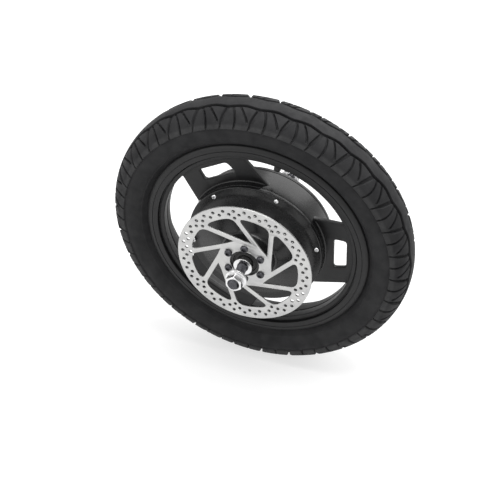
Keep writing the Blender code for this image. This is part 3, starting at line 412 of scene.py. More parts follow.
def turn_about_y(angle):
    """Turns +X towards +Z, as the angles round the wheel are counted."""
    return Matrix.Rotation(-angle, 4, "Y")


def skin(bm, ring, following):
    """Faces between two rings of vertices. A ring of one vertex is a tip."""
    count = max(len(ring), len(following))
    for i in range(count):
        j = (i + 1) % count
        corners = [ring[i % len(ring)], ring[j % len(ring)]]
        corners += [following[j % len(following)], following[i % len(following)]]
        corners = list(dict.fromkeys(corners))
        if len(corners) > 2:
            bm.faces.new(corners)


def lofted(rings, closed=False):
    """A bmesh skinned over rings of points. A closed one joins its last ring to its first."""
    bm = bmesh.new()
    made = [[bm.verts.new(point) for point in ring] for ring in rings]
    followers = made[1:] + made[:1] if closed else made[1:]
    for ring, following in zip(made, followers):
        skin(bm, ring, following)
    return bm


def capped(bm, count):
    """Closes the first and the last ring of a loft whose rings have this many points."""
    bm.verts.ensure_lookup_table()
    bm.faces.new(bm.verts[:count])
    bm.faces.new(bm.verts[-count:])
    return bm


def turned_rings(profile, sides):
    """Rings about Y for a profile of (radius, y) points."""
    rings = []
    for radius, y in profile:
        ring = circle(radius, sides) if radius else [(0, 0)]
        rings.append([(x, y, z) for x, z in ring])
    return rings


def turned(profile, sides, closed=True):
    return lofted(turned_rings(profile, sides), closed)


def linked(name, data):
    """A new object in the scene."""
    made = bpy.data.objects.new(name, data)
    bpy.context.collection.objects.link(made)
    return made


def plate(outlines, low_y, high_y, edge, edge_steps):
    """Outlines in X and Z with their holes left open, made thick along Y, with rounded edges."""
    curve = bpy.data.curves.new("outline", "CURVE")
    curve.dimensions = "2D"
    curve.fill_mode = "BOTH"
    curve.extrude = (high_y - low_y) / 2 - edge
    curve.bevel_depth = edge
    curve.bevel_resolution = edge_steps
    curve.offset = -edge
    for points in outlines:
        spline = curve.splines.new("POLY")
        spline.points.add(len(points) - 1)
        spline.use_cyclic_u = True
        for point, (x, z) in zip(spline.points, points):
            point.co = (x, z, 0, 1)
    guide = linked("outline", curve)
    bpy.context.view_layer.update()
    graph = bpy.context.evaluated_depsgraph_get()
    mesh = bpy.data.meshes.new_from_object(guide.evaluated_get(graph))
    bpy.data.objects.remove(guide, do_unlink=True)
    bm = bmesh.new()
    bm.from_mesh(mesh)
    bpy.data.meshes.remove(mesh)
    middle = Vector((0, (low_y + high_y) / 2, 0))
    bm.transform(Matrix.Translation(middle) @ Matrix.Rotation(pi / 2, 4, "X"))
    return bm


def merged(bmeshes):
    """Several bmeshes in one."""
    whole = bmesh.new()
    for bm in bmeshes:
        mesh = bpy.data.meshes.new("part")
        bm.to_mesh(mesh)
        bm.free()
        whole.from_mesh(mesh)
        bpy.data.meshes.remove(mesh)
    return whole


def piece(name, bm, slot, body, *nodes, sharp=35):
    """An object that rides on a body and stands for the nodes that it replaces."""
    bmesh.ops.remove_doubles(bm, verts=bm.verts, dist=1e-6)
    bmesh.ops.recalc_face_normals(bm, faces=bm.faces)
    mesh = bpy.data.meshes.new(name)
    bm.to_mesh(mesh)
    bm.free()
    mesh.shade_smooth()
    mesh.set_sharp_from_angle(angle=radians(sharp))
    mesh.materials.append(FINISH[slot])
    made = linked(name, mesh)
    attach(made, body)
    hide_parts(*nodes)


# Materials


def new_material(title, roughness, metallic=0.0, specular=0.5):
    made = bpy.data.materials.new(title)
    made.use_nodes = True
    shader = made.node_tree.nodes["Principled BSDF"]
    values = {"Roughness": roughness, "Metallic": metallic, "Specular IOR Level": specular}
    for name, value in values.items():
        shader.inputs[name].default_value = value
    return made, made.node_tree, shader


def node(tree, kind, inputs, **settings):
    """A shader node. Each input is a value or another node's socket."""
    made = tree.nodes.new(f"ShaderNode{kind}")
    for name, value in settings.items():
        setattr(made, name, value)
    for name, value in inputs.items():
        if isinstance(value, bpy.types.NodeSocket):
            tree.links.new(value, made.inputs[name])
        else:
            made.inputs[name].default_value = value
    return made


def place_on_object(tree):
    return tree.nodes.new("ShaderNodeTexCoord").outputs["Object"]


def noise(tree, scale, detail=3.0, vector=None):
    """Values from 0 to 1 that vary over the object. The scale is counted per metre."""
    if vector is None:
        vector = place_on_object(tree)
    return node(tree, "TexNoise", {"Scale": scale, "Detail": detail, "Vector": vector}).outputs["Fac"]


def maths(tree, operation, first, second=0.5):
    return node(tree, "Math", {0: first, 1: second}, operation=operation).outputs["Value"]


def place_round_axle(tree):
    """A point's radius, its place along the axle and its angle."""
    place = node(tree, "SeparateXYZ", {"Vector": place_on_object(tree)})
    x, y, z = (place.outputs[axis] for axis in "XYZ")
    squares = maths(tree, "ADD", maths(tree, "MULTIPLY", x, x), maths(tree, "MULTIPLY", z, z))
    return maths(tree, "SQRT", squares), y, maths(tree, "ARCTAN2", z, x)


def ramp_node(tree, value, start, end):
    """0 at the start, 1 at the end and a smooth climb between."""
    limits = {"Value": value, "From Min": start, "From Max": end}
    return node(tree, "MapRange", limits, interpolation_type="SMOOTHSTEP").outputs["Result"]


def round_axle(tree, along_radius, along_angle):
    """Coordinates that follow circles about Y, for the marks of turning and brushing."""
    radius, y, angle = place_round_axle(tree)
    scaled = {
        "X": maths(tree, "MULTIPLY", radius, along_radius),
        "Y": maths(tree, "MULTIPLY", y, along_radius),
        "Z": maths(tree, "MULTIPLY", angle, along_angle),
    }
    return node(tree, "CombineXYZ", scaled).outputs["Vector"]


def tint(tree, shader, factor, dark, light):
    """Base colour that moves between two colours."""
    mix = node(tree, "Mix", {"Factor": factor, "A": (*dark, 1), "B": (*light, 1)}, data_type="RGBA")
    tree.links.new(mix.outputs["Result"], shader.inputs["Base Color"])


def spread(tree, factor, low, high):
    """The middle of a noise's range stretched over low to high."""
    start, end = NOISE_MIDDLE
    limits = {"Value": factor, "From Min": start, "From Max": end, "To Min": low, "To Max": high}
    return node(tree, "MapRange", limits).outputs["Result"]


def roughen(tree, shader, scale, low, high):
    """Roughness that varies in patches."""
    tree.links.new(spread(tree, noise(tree, scale), low, high), shader.inputs["Roughness"])


def bump(tree, shader, height, depth):
    made = node(tree, "Bump", {"Strength": 1.0, "Distance": depth, "Height": height})
    tree.links.new(made.outputs["Normal"], shader.inputs["Normal"])


def tyre_rubber():
    """Matt moulded rubber with a faint bloom, a fine grain and lighter patches in a band over the ends of
    the blocks.
    """
    made, tree, shader = new_material("tyre rubber", 0.72, specular=0.25)
    bloom = spread(tree, noise(tree, 45), 0, 0.3)
    radius, _, _ = place_round_axle(tree)
    start = ramp_node(tree, radius, SHOULDER_BAND[0], SHOULDER_BAND[1])
    end = ramp_node(tree, radius, SHOULDER_BAND[3], SHOULDER_BAND[2])
    band = maths(tree, "MULTIPLY", start, end)
    # Lighter in patches in a band round the shoulders, over the ends of the blocks
    shoulder_patches = maths(tree, "MULTIPLY", band, spread(tree, noise(tree, 160), 0.35, 0.7))
    tint(tree, shader, maths(tree, "ADD", bloom, shoulder_patches), (0.012, 0.012, 0.013), (0.050, 0.050, 0.051))
    roughen(tree, shader, 120, 0.64, 0.80)
    bump(tree, shader, noise(tree, 1500), 0.00012)
    return made


def moulded(name, roughness, tint_scale, dark, light, grain_scale, depth):
    """A plain finish that drifts between two colours, with a fine grain."""
    made, tree, shader = new_material(name, roughness)
    tint(tree, shader, noise(tree, tint_scale), dark, light)
    bump(tree, shader, noise(tree, grain_scale), depth)
    return made


def black_alloy():
    """Satin black paint with the soft grain of the casting under it, glossier on drum and covers."""
    made, tree, shader = new_material("black cast alloy", 0.29, specular=0.38)
    patches = spread(tree, noise(tree, 60), 0, 1)
    tint(tree, shader, patches, (0.005, 0.005, 0.0055), (0.008, 0.008, 0.0085))
    radius, _, _ = place_round_axle(tree)
    outside = ramp_node(tree, radius, DRUM_RADIUS, DRUM_RADIUS + SATIN_RUN)
    satin = maths(tree, "MULTIPLY", outside, SATIN_ROUGHNESS)
    roughness = maths(tree, "ADD", spread(tree, noise(tree, 200), 0.25, 0.31), satin)
    tree.links.new(roughness, shader.inputs["Roughness"])
    bump(tree, shader, noise(tree, 900, 4), 0.00004)
    return made


def turned_metal(name, dark, light, roughness, depth):
    """Metal with fine marks round the axle."""
    made, tree, shader = new_material(name, roughness, 1.0)
    marks = noise(tree, 1, 4, round_axle(tree, 5200, 9))
    tint(tree, shader, spread(tree, noise(tree, 70), 0, 1), dark, light)
    tree.links.new(spread(tree, marks, roughness * 0.85, roughness * 1.15), shader.inputs["Roughness"])
    bump(tree, shader, marks, depth)
    return made


def dark_steel():
    """Black oxide with a slight wear in patches."""
    made, tree, shader = new_material("black oxide steel", 0.42, 1.0)
    tint(tree, shader, spread(tree, noise(tree, 500), 0, 1), (0.055, 0.055, 0.060), (0.10, 0.10, 0.11))
    roughen(tree, shader, 900, 0.36, 0.50)
    bump(tree, shader, noise(tree, 3000), 0.00003)
    return made


def copper():
    made, tree, shader = new_material("varnished copper", 0.35, 1.0)
    tint(tree, shader, noise(tree, 900), (0.32, 0.11, 0.04), (0.52, 0.20, 0.08))
    bump(tree, shader, noise(tree, 1, 2, round_axle(tree, 1100, 4)), 0.0003)
    return made


def laminations():
    """Thin steel sheets stacked along the axle."""
    made, tree, shader = new_material("stacked laminations", 0.5, 1.0)
    sheets = noise(tree, 1, 1, round_axle(tree, 2000, 0))
    tint(tree, shader, sheets, (0.13, 0.13, 0.15), (0.26, 0.26, 0.28))
    bump(tree, shader, sheets, 0.0001)
    return made


SEAL_GREYS = ((0.012, 0.012, 0.012), (0.024, 0.024, 0.024))
PLASTIC_GREYS = ((0.012, 0.012, 0.012), (0.020, 0.020, 0.020))
BOARD_GREENS = ((0.010, 0.070, 0.030), (0.025, 0.140, 0.060))
DISC_GREYS = ((0.47, 0.47, 0.47), (0.55, 0.55, 0.54))
STEEL_GREYS = ((0.40, 0.40, 0.40), (0.55, 0.55, 0.54))
ZINC_GREYS = ((0.66, 0.66, 0.67), (0.76, 0.76, 0.76))
ALLOY_GREYS = ((0.52, 0.52, 0.53), (0.62, 0.62, 0.63))

FINISH = {
    "tyre_rubber": tyre_rubber(),
    "seal_rubber": moulded("seal rubber", 0.55, 300, *SEAL_GREYS, 2500, 0.00006),
    "black_alloy": black_alloy(),
    "disc_steel": turned_metal("brushed disc steel", *DISC_GREYS, 0.40, 0.00002),
    "steel": turned_metal("turned steel", *STEEL_GREYS, 0.34, 0.00002),
    "zinc": turned_metal("bright zinc", *ZINC_GREYS, 0.20, 0.00001),
    "dark_steel": dark_steel(),
    "bare_alloy": turned_metal("machined alloy", *ALLOY_GREYS, 0.42, 0.00003),
    "copper": copper(),
    "laminations": laminations(),
    "circuit_board": moulded("green circuit board", 0.4, 900, *BOARD_GREENS, 1500, 0.00004),
    "black_plastic": moulded("moulded black plastic", 0.45, 400, *PLASTIC_GREYS, 3000, 0.00005),
}


def dress_kept_nodes():
    """The inner pieces keep their solids and get the finish of their slot."""
    for row in frame["record"]["subparts"]:
        mesh = frame["nodes"][row["node"]].data
        mesh.materials.clear()
        mesh.materials.append(FINISH[row["material_slot"]])


# Tyre

# Columns across one groove: place in metres from its middle, and share of its depth
GROOVE_HALF = (
    (GROOVE_FLOOR_WIDTH / 2, 1),
    (GROOVE_TOP_WIDTH / 2, BLOCK_CHAMFER / GROOVE_DEPTH),
    (GROOVE_TOP_WIDTH / 2 + BLOCK_CHAMFER, 0),
)
GROOVE_COLUMNS = (*((-place, share) for place, share in reversed(GROOVE_HALF)), *GROOVE_HALF)
BLOCK_COLUMNS = (1 / 3, 2 / 3)


def tread_rows():
    """Rows across half the tread, from the crown outwards: the turn round the section in degrees, the shares
    of the zigzag and of the cross grooves, and the depth below the tread."""
    groove = CROWN_GROOVE_TURN
    edge = SHOULDER_TURN
    floor, chamfer, top = CROWN_GROOVE_SPREAD
    rows = [(8, 0.5, 0, 0), (groove - top, 1, 0, 0), (groove - chamfer, 1, 0, BLOCK_CHAMFER)]
    rows += [(groove - floor, 1, 0.5, GROOVE_DEPTH), (groove + floor, 1, 1, GROOVE_DEPTH)]
    rows += [(groove + chamfer, 1, 1, BLOCK_CHAMFER), (groove + top, 1, 1, 0)]
    for turn in range(28, edge - 3, 4):
        rows.append((turn, max(0, (44 - turn) / 22), 1, 0))
    rows += [(edge - 2, 0, 0.85, 0), (edge, 0, 0.6, 0), (edge + 1, 0, 0.5, BLOCK_CHAMFER)]
    rows += [(edge + 3, 0, 0, BLOCK_STEP), (85, 0, 0, BLOCK_STEP * 0.8), (90, 0, 0, BLOCK_STEP * 0.4)]
    return rows


def ramp(value, start, end):
    """0 before the start, 1 after the end and an even climb between."""
    return min(1, max(0, (value - start) / (end - start)))


def pitch_grooves(turn):
    """(offset, share of the width, share of the depth) of one pitch's grooves where a row crosses them: a
    straight one, a branch that leaves it, and a hooked one that meets the next straight one."""
    way = ramp(-turn, -SHOULDER_TURN, -CROWN_GROOVE_TURN)
    straight = -STRAIGHT_LEAN * way
    widening = ramp(way, *STRAIGHT_WIDENS)
    along = ramp(way, BRANCH_START, 1)
    branch = straight + BRANCH_SIDE + BRANCH_CLIMB * along**BRANCH_BEND
    hook = HOOK_START + straight + HOOK_CLIMB * way**2
    return (
        (straight, STRAIGHT_NARROW + (1 - STRAIGHT_NARROW) * widening, 1),
        (branch, BRANCH_WIDTH, ramp(way, BRANCH_START, BRANCH_START + BRANCH_DEEPENS)),
        (hook, HOOK_WIDTH, 1),
    )


def tread_columns(side, turn):
    """(angle, share of the groove depth) of a row's columns. The two sides are half a pitch apart."""
    first = TREAD_PHASE + (TREAD_PITCH / 2 if side > 0 else 0)
    grooves = []
    for number in range(TREAD_PITCHES):
        for offset, width, depth in pitch_grooves(turn):
            grooves.append((first + TREAD_PITCH * (number + offset), width / TYRE_RADIUS, depth))
    grooves.append((grooves[0][0] + tau, *grooves[0][1:]))
    columns = []
    for (middle, width, depth), (following, next_width, _) in zip(grooves, grooves[1:]):
        for place, share in GROOVE_COLUMNS:
            columns.append((middle + place * width, share * depth))
        start = middle + GROOVE_COLUMNS[-1][0] * width
        end = following + GROOVE_COLUMNS[0][0] * next_width
        columns += [(start + (end - start) * share, 0) for share in BLOCK_COLUMNS]
    return columns


def zigzag_at(side, angle):
    """The crown groove's sway, from 1 at the inner ends of the straight grooves to -1 between them."""
    first = TREAD_PHASE - STRAIGHT_LEAN * TREAD_PITCH + (TREAD_PITCH / 2 if side > 0 else 0)
    return 4 * abs((angle - first) / TREAD_PITCH % 1 - 0.5) - 1


def section_point(turn, depth):
    """(radius, y) on the tyre's round crown, this far below its surface."""
    along, out = polar(1, radians(turn))
    normal = Vector((along / TYRE_CROWN_HEIGHT, out / TYRE_HALF_WIDTH)).normalized()
    radius = TYRE_WIDEST_RADIUS + TYRE_CROWN_HEIGHT * along - depth * normal[0]
    return radius, TYRE_HALF_WIDTH * out - depth * normal[1]


def tread_ring(side, row):
    turn, zigzag, groove_share, depth = row
    ring = []
    for angle, share in tread_columns(side, turn):
        below = max(depth, GROOVE_DEPTH * groove_share * share)
        radius, y = section_point(turn + ZIGZAG * zigzag * zigzag_at(side, angle), below)
        ring.append(polar_at(radius, angle, side * y))
    return ring


def wall_profile():
    """(radius, y) down a side wall from its widest part to the bead, and back up inside to the crown."""
    return [
        (0.1525, 0.0295),
        (0.1475, 0.0291),
        (0.1430, 0.0281),
        (RIM_LINE_RADIUS + 0.0010, 0.0262),
        (RIM_LINE_RADIUS + 0.0005, 0.0258 + RIM_LINE_HEIGHT),
        (RIM_LINE_RADIUS - 0.0003, 0.0252 + RIM_LINE_HEIGHT),
        (RIM_LINE_RADIUS - 0.0008, 0.0248),
        (0.1367, 0.0228),
        (0.1354, 0.0214),
        (BEAD_TOP_RADIUS, BEAD_TOP_Y),
        (BEAD_SEAT_RADIUS + GAP, BEAD_HEEL_Y),
        (BEAD_SEAT_RADIUS + GAP, BEAD_HEEL_Y - BEAD_WIDTH),
        (TYRE_WIDEST_RADIUS, TYRE_HALF_WIDTH - TYRE_WALL),
        (TYRE_RADIUS - TYRE_CROWN, (TYRE_HALF_WIDTH - TYRE_WALL) / 2),
    ]


def tyre():
    """The tyre as one closed skin: crown, blocks and grooves, side walls, beads and inside."""
    halves = {}
    for side in (-1, 1):
        rows = [tread_ring(side, row) for row in tread_rows()]
        angles = [angle for angle, _ in tread_columns(side, SHOULDER_TURN)]
        for radius, y in wall_profile():
            rows.append([polar_at(radius, angle, side * y) for angle in angles])
        # Both halves start near the angle 0, so that they meet without a twist
        count = len(angles)
        step = tau / count
        inner = [angle for angle, _ in tread_columns(side, CROWN_GROOVE_TURN)]
        shift = round(sum(angle / step - i for i, angle in enumerate(inner)) / count)
        halves[side] = [[row[(i - shift) % count] for i in range(count)] for row in rows]
    middle = [(x, 0, z) for x, z in circle(TYRE_RADIUS, count)]
    rings = [*reversed(halves[-1]), middle, *halves[1]]
    piece("tyre_with_tread", lofted(rings, closed=True), "tyre_rubber", "wheel", "tyre", sharp=28)


# Casting


def rim_profile():
    """Section of the rim with eased corners. The left face has a narrow groove, a lip, a fine line and
    a flange."""
    land_in = LAND_GROOVE_Y - LAND_GROOVE_WIDTH / 2
    land_out = LAND_GROOVE_Y + LAND_GROOVE_WIDTH / 2
    land_floor = RIM_BORE_RADIUS + LAND_GROOVE_DEPTH
    line_in = LIP_LINE_RADIUS - LIP_LINE_WIDTH / 2
    line_out = LIP_LINE_RADIUS + LIP_LINE_WIDTH / 2
    line_y = LIP_Y + LIP_LINE_WIDTH
    corners = [
        (WELL_RADIUS, WELL_LEFT_Y, 0.002),
        (WELL_RADIUS, WELL_RIGHT_Y, 0.002),
        (BEAD_SEAT_RADIUS, WELL_RIGHT_Y + WELL_SIDE_RUN, 0.001),
        (BEAD_SEAT_RADIUS, RIM_HALF_WIDTH, 0.0008),
        (FLANGE_RADIUS - 0.0015, FLANGE_BACK_Y, 0.0006),
        (FLANGE_RADIUS, FLANGE_TOP_Y, 0.0006),
        (FLANGE_RADIUS - 0.0012, RIM_RIGHT_Y, 0.0008),
        (FLANGE_RADIUS - 0.0030, RIM_RIGHT_Y, 0.0008),
        (BARREL_RADIUS, RIM_RIGHT_Y - 0.0065, 0.003),
        (BARREL_RADIUS, LAND_RIGHT_Y + 0.010, 0.004),
        (RIM_BORE_RADIUS, LAND_RIGHT_Y, 0.0015),
        (RIM_BORE_RADIUS, land_out, 0.0004),
        (land_floor, land_out - 0.0004, 0.0003),
        (land_floor, land_in + 0.0004, 0.0003),
        (RIM_BORE_RADIUS, land_in, 0.0004),
        (RIM_BORE_RADIUS, LAND_LEFT_Y, 0.0014),
        (MOAT_INNER_RADIUS, LAND_LEFT_Y - 0.0003, 0.0005),
        (MOAT_INNER_RADIUS, MOAT_FLOOR_Y, 0.0004),
        (MOAT_OUTER_RADIUS, MOAT_FLOOR_Y, 0.0004),
        (MOAT_OUTER_RADIUS, LIP_Y, 0.0008),
        (line_in, LIP_Y - 0.0002, 0.0002),
        (line_in, line_y, 0.0001),
        (line_out, line_y, 0.0001),
        (line_out, LIP_Y - 0.0002, 0.0003),
        (FLANGE_EDGE_RADIUS - 0.0038, LIP_Y + 0.0002, 0.0020),
        (FLANGE_EDGE_RADIUS - 0.0008, LIP_Y + 0.0020, 0.0012),
        (FLANGE_EDGE_RADIUS, FLANGE_EDGE_Y, 0.0005),
        (FLANGE_EDGE_RADIUS - 0.0010, FLANGE_EDGE_Y + 0.0004, 0.0003),
        (BEAD_SEAT_RADIUS, -RIM_HALF_WIDTH, 0.0008),
        (BEAD_SEAT_RADIUS, WELL_LEFT_Y - WELL_SIDE_RUN, 0.001),
    ]
    return rounded(corners)


def plain_ring(bore, radius, start_y, end_y, edge):
    """Section of a ring with eased outer edges."""
    return rounded([(bore, start_y, 0), (radius, start_y, edge), (radius, end_y, edge), (bore, end_y, 0)])


def crossing(start, end, radius):
    """Where the line from start to end crosses a circle about the axle."""
    low, high = 0.0, 1.0
    for _ in range(40):
        middle = (low + high) / 2
        point = tuple(a + (b - a) * middle for a, b in zip(start, end))
        if hypot(*point) < radius:
            low = middle
        else:
            high = middle
    return point


def spoke_ends(side):
    """The straight part of a spoke's edge, from inside the drum wall to inside the rim. The lower edge, at
    side -1, is given mirrored."""
    foot = side * SPOKE_FOOT_TURN + asin(SPOKE_FOOT_WIDTH / 2 / SPOKE_FOOT_RADIUS)
    tip = side * SPOKE_TIP_TURN + asin(SPOKE_TIP_WIDTH / 2 / SPOKE_TIP_RADIUS)
    return polar(SPOKE_FOOT_RADIUS, foot), polar(SPOKE_TIP_RADIUS, tip)


def spoke_side(side):
    """A spoke's edge, flared where it meets the drum and the rim. The lower one is given mirrored."""
    foot, tip = spoke_ends(side)
    line = []
    ends = (
        (DRUM_RADIUS, SPOKE_FOOT_RADIUS, tip, SPOKE_FOOT_FLARE),
        (RIM_BORE_RADIUS, SPOKE_TIP_RADIUS, foot, SPOKE_TIP_FLARE),
    )
    for radius, inside, other, flare in ends:
        corner = crossing(foot, tip, radius)
        angle = angle_of(corner) + flare / radius
        start = polar(radius, angle)
        curve = [polar(inside, angle), *bend(start, corner, towards(corner, other, flare), 6)]
        line += curve if not line else reversed(curve)
    return line


def inset(line, distance):
    """A spoke's edge line moved towards the middle of the spoke."""
    moved = []
    for i, (x, z) in enumerate(line):
        before = line[max(0, i - 1)]
        after = line[min(len(line) - 1, i + 1)]
        length = dist(before, after)
        run = after[0] - before[0]
        rise = after[1] - before[1]
        moved.append((x + distance * rise / length, z - distance * run / length))
    return moved


def spoke_edges(angle):
    """The two edges of a spoke: the front face rolls back to them in a quarter of an ellipse."""
    section = [(SPOKE_ROUND + SPOKE_EDGE, SPOKE_FRONT_Y + GAP)]
    for i in range(SPOKE_ROUND_STEPS + 1):
        across, along = polar(1, pi / 2 * (1 - i / SPOKE_ROUND_STEPS))
        section.append((SPOKE_ROUND * (1 - across), SPOKE_FRONT_Y + SPOKE_ROUND_DEPTH * (1 - along)))
    section += [(SPOKE_BACK_INSET, SPOKE_BACK_Y - SPOKE_BACK_INSET), (SPOKE_BACK_CHAMFER, SPOKE_BACK_Y)]
    section.append((SPOKE_ROUND + SPOKE_EDGE, SPOKE_BACK_Y - GAP))
    made = []
    for side in (-1, 1):
        lines = [(inset(spoke_side(side), distance), y) for distance, y in section]
        count = len(lines[0][0])
        rings = [[(line[i][0], y, side * line[i][1]) for line, y in lines] for i in range(count)]
        bm = capped(lofted(rings), len(section))
        bm.transform(turn_about_y(angle))
        made.append(bm)
    return made


def spoke(angle):
    upper = inset(spoke_side(1), SPOKE_ROUND - SPOKE_EDGE)
    lower = [(x, -z) for x, z in reversed(inset(spoke_side(-1), SPOKE_ROUND - SPOKE_EDGE))]
    tip = arc(SPOKE_TIP_RADIUS, angle_of(upper[-1]), angle_of(lower[0]), 24)
    foot = arc(SPOKE_FOOT_RADIUS, angle_of(lower[-1]), angle_of(upper[0]), 32)
    outline = upper + tip[1:-1] + lower + foot[1:-1]
    corners = (
        (WINDOW_NEAR_X, WINDOW_NEAR_BOTTOM),
        (WINDOW_FAR_X, WINDOW_FAR_BOTTOM),
        (WINDOW_FAR_X, WINDOW_TOP),
        (WINDOW_NEAR_X, WINDOW_TOP),
    )
    window = rounded([(*corner, WINDOW_CORNER) for corner in corners], steps=8)
    bm = plate([outline, window], SPOKE_FRONT_Y, SPOKE_BACK_Y, SPOKE_EDGE, 3)
    bm.transform(turn_about_y(angle))
    return bm


def cove(angle, wall_radius, away, ends, face_y, side):
    """A hollow fillet between a spoke's face and a round wall. It fades out at its two ends."""
    middle = (ends[1] + ends[0]) / 2
    half_angle = (ends[1] - ends[0]) / 2
    sunk_radius = wall_radius - away * COVE_SUNK
    sunk_y = face_y - side * COVE_SUNK
    rings = []
    for i in range(COVE_STEPS + 1):
        turn = -half_angle + 2 * half_angle * i / COVE_STEPS
        fade = (half_angle - abs(turn)) * wall_radius / (COVE_FADE * SPOKE_COVE)
        size = SPOKE_COVE * sin(min(1, max(COVE_END, fade)) * pi / 2)
        section = [(sunk_radius, sunk_y), (sunk_radius, face_y + side * size)]
        for j in range(COVE_BOWS + 1):
            bow = pi / 2 * j / COVE_BOWS
            radius = wall_radius + away * size * (1 - cos(bow))
            section.append((radius, face_y + side * size * (1 - sin(bow))))
        section.append((wall_radius + away * size, sunk_y))
        rings.append([polar_at(radius, angle + middle + turn, y) for radius, y in section])
    return capped(lofted(rings), len(rings[0]))


def wheel_casting():
    drum = plain_ring(DRUM_BORE_RADIUS, DRUM_RADIUS, DRUM_LEFT_Y, DRUM_RIGHT_Y, DRUM_EDGE)
    parts = [turned(drum, HUB_SIDES), turned(rim_profile(), WHEEL_SIDES)]
    feet, tips = [], []
    for side in (-1, 1):
        ends = spoke_ends(side)
        foot = angle_of(crossing(*ends, DRUM_RADIUS + SPOKE_COVE))
        tip = angle_of(crossing(*ends, RIM_BORE_RADIUS))
        feet.append(side * (foot - SPOKE_ROUND / DRUM_RADIUS))
        tips.append(side * (tip - SPOKE_ROUND / RIM_BORE_RADIUS))
    for angle in turns(SPOKE_COUNT):
        parts.append(spoke(angle))
        parts += spoke_edges(angle)
        for face_y, side in ((SPOKE_FRONT_Y, -1), (SPOKE_BACK_Y, 1)):
            parts.append(cove(angle, DRUM_RADIUS, 1, feet, face_y, side))
            parts.append(cove(angle, RIM_BORE_RADIUS, -1, tips, face_y, side))
    piece("cast_wheel", merged(parts), "black_alloy", "wheel", "wheel_casting")


# Motor covers


def cover_profile(side, flange_y, cone_height, boss_radius, boss_y):
    """Section of a motor cover: a flat land at its rim, a cone, a boss and the seat of its seal."""
    seat = flange_y - side * COVER_FLANGE
    cone_y = flange_y + side * cone_height
    root = 0.005 if abs(boss_y - cone_y) > 0.006 else 0.002
    inside = seat + side * COVER_INSIDE
    seal_end = boss_y - side * SEAL_DEPTH
    corners = [
        (DRUM_RADIUS, seat, 0.0004),
        (DRUM_RADIUS, flange_y, 0.0014),
        (COVER_LAND_RADIUS, flange_y, 0.003),
        (boss_radius, cone_y, root),
        (boss_radius, boss_y, 0.0012),
        (SEAL_BORE_RADIUS, boss_y, 0.0006),
        (SEAL_BORE_RADIUS, seal_end, 0),
        (BEARING_POCKET_RADIUS, seal_end, 0),
        (BEARING_POCKET_RADIUS, inside, 0),
        (COVER_SPIGOT_RADIUS, inside, 0),
        (COVER_SPIGOT_RADIUS, seat, 0),
    ]
    return rounded(corners, steps=6)


def covers():
    left = cover_profile(-1, LEFT_FLANGE_Y, LEFT_CONE_HEIGHT, LEFT_BOSS_RADIUS, LEFT_BOSS_Y)
    right = cover_profile(1, RIGHT_FLANGE_Y, RIGHT_CONE_HEIGHT, RIGHT_BOSS_RADIUS, RIGHT_BOSS_Y)
    for name, profile in (("left_cover", left), ("right_cover", right)):
        piece(f"{name}_shell", turned(profile, HUB_SIDES), "black_alloy", "wheel", name)


def seal_profile(mouth_y, side):
    """Section of a lip seal in the mouth of a cover's boss."""
    front = mouth_y - side * SEAL_RECESS
    back = mouth_y - side * (SEAL_DEPTH - GAP)
    inner = SLEEVE_RADIUS + GAP
    outer = SEAL_BORE_RADIUS - GAP
    corners = [
        (outer, back, 0),
        (outer, front, 0.0006),
        (outer - 0.0012, front, 0.0003),
        (outer - 0.0016, front - side * SEAL_STEP, 0.0003),
        (inner + 0.0016, front - side * SEAL_STEP, 0.0004),
        (inner + 0.0008, front, 0.0003),
        (inner, front - side * 0.001, 0.0003),
        (inner, back, 0),
    ]
    return rounded(corners)


def seals():
    for name, mouth_y, side in (("left_seal", LEFT_BOSS_Y, -1), ("right_seal", RIGHT_BOSS_Y, 1)):
        bm = turned(seal_profile(mouth_y, side), SHAFT_SIDES)
        piece(f"{name}_lip", bm, "seal_rubber", "wheel", name)


# Screws and nuts


def hexagon(across_flats):
    """The reach of a hexagon at an angle."""
    third = pi / 3
    return lambda angle: across_flats / 2 / cos((angle + third / 2) % third - third / 2)


def shaped_ring(sides, y, reach):
    """A ring about Y whose reach depends on the angle."""
    return [polar_at(reach(turn), turn, y) for turn in turns(sides)]


def socket_screw(place, seat_y, side, shank, head):
    """A screw along Y with a domed head and a hexagon socket."""
    head_radius, head_height = head
    end = seat_y - side * SCREW_GRIP
    near = seat_y + side * GAP
    top = near + side * head_height
    floor = top - side * head_height * 0.6
    socket = hexagon(head_radius)
    profile = [(0, end), (shank, end), (shank, near)]
    profile += [(head_radius * out, near + side * head_height * up) for out, up in SCREW_HEAD_SHAPE]
    rings = turned_rings(profile, SCREW_SIDES)
    rings += [
        shaped_ring(SCREW_SIDES, top, lambda angle: socket(angle) * 1.05),
        shaped_ring(SCREW_SIDES, top - side * head_height * 0.06, socket),
        shaped_ring(SCREW_SIDES, floor, socket),
        [(0, floor - side * head_height * 0.12, 0)],
    ]
    bm = lofted(rings)
    bm.transform(Matrix.Translation((place[0], 0, place[1])))
    return bm


def screws():
    for number, turn in enumerate(turns(SCREWS_PER_RING), 1):
        place = polar(COVER_SCREW_CIRCLE, COVER_SCREW_ANGLE + turn)
        for side_name, side, seat_y in (("left", -1, LEFT_FLANGE_Y), ("right", 1, RIGHT_FLANGE_Y)):
            name = f"{side_name}_cover_screw_{number}"
            bm = socket_screw(place, seat_y, side, COVER_SCREW_SHANK, COVER_SCREW_HEAD)
            piece(f"{name}_socket", bm, "zinc", "wheel", name, sharp=30)
        name = f"disc_bolt_{number}"
        place = polar(DISC_BOLT_CIRCLE, DISC_BOLT_ANGLE + turn)
        bm = socket_screw(place, DISC_FRONT_Y, -1, DISC_BOLT_SHANK, DISC_BOLT_HEAD)
        piece(f"{name}_socket", bm, "dark_steel", "wheel", name, sharp=30)


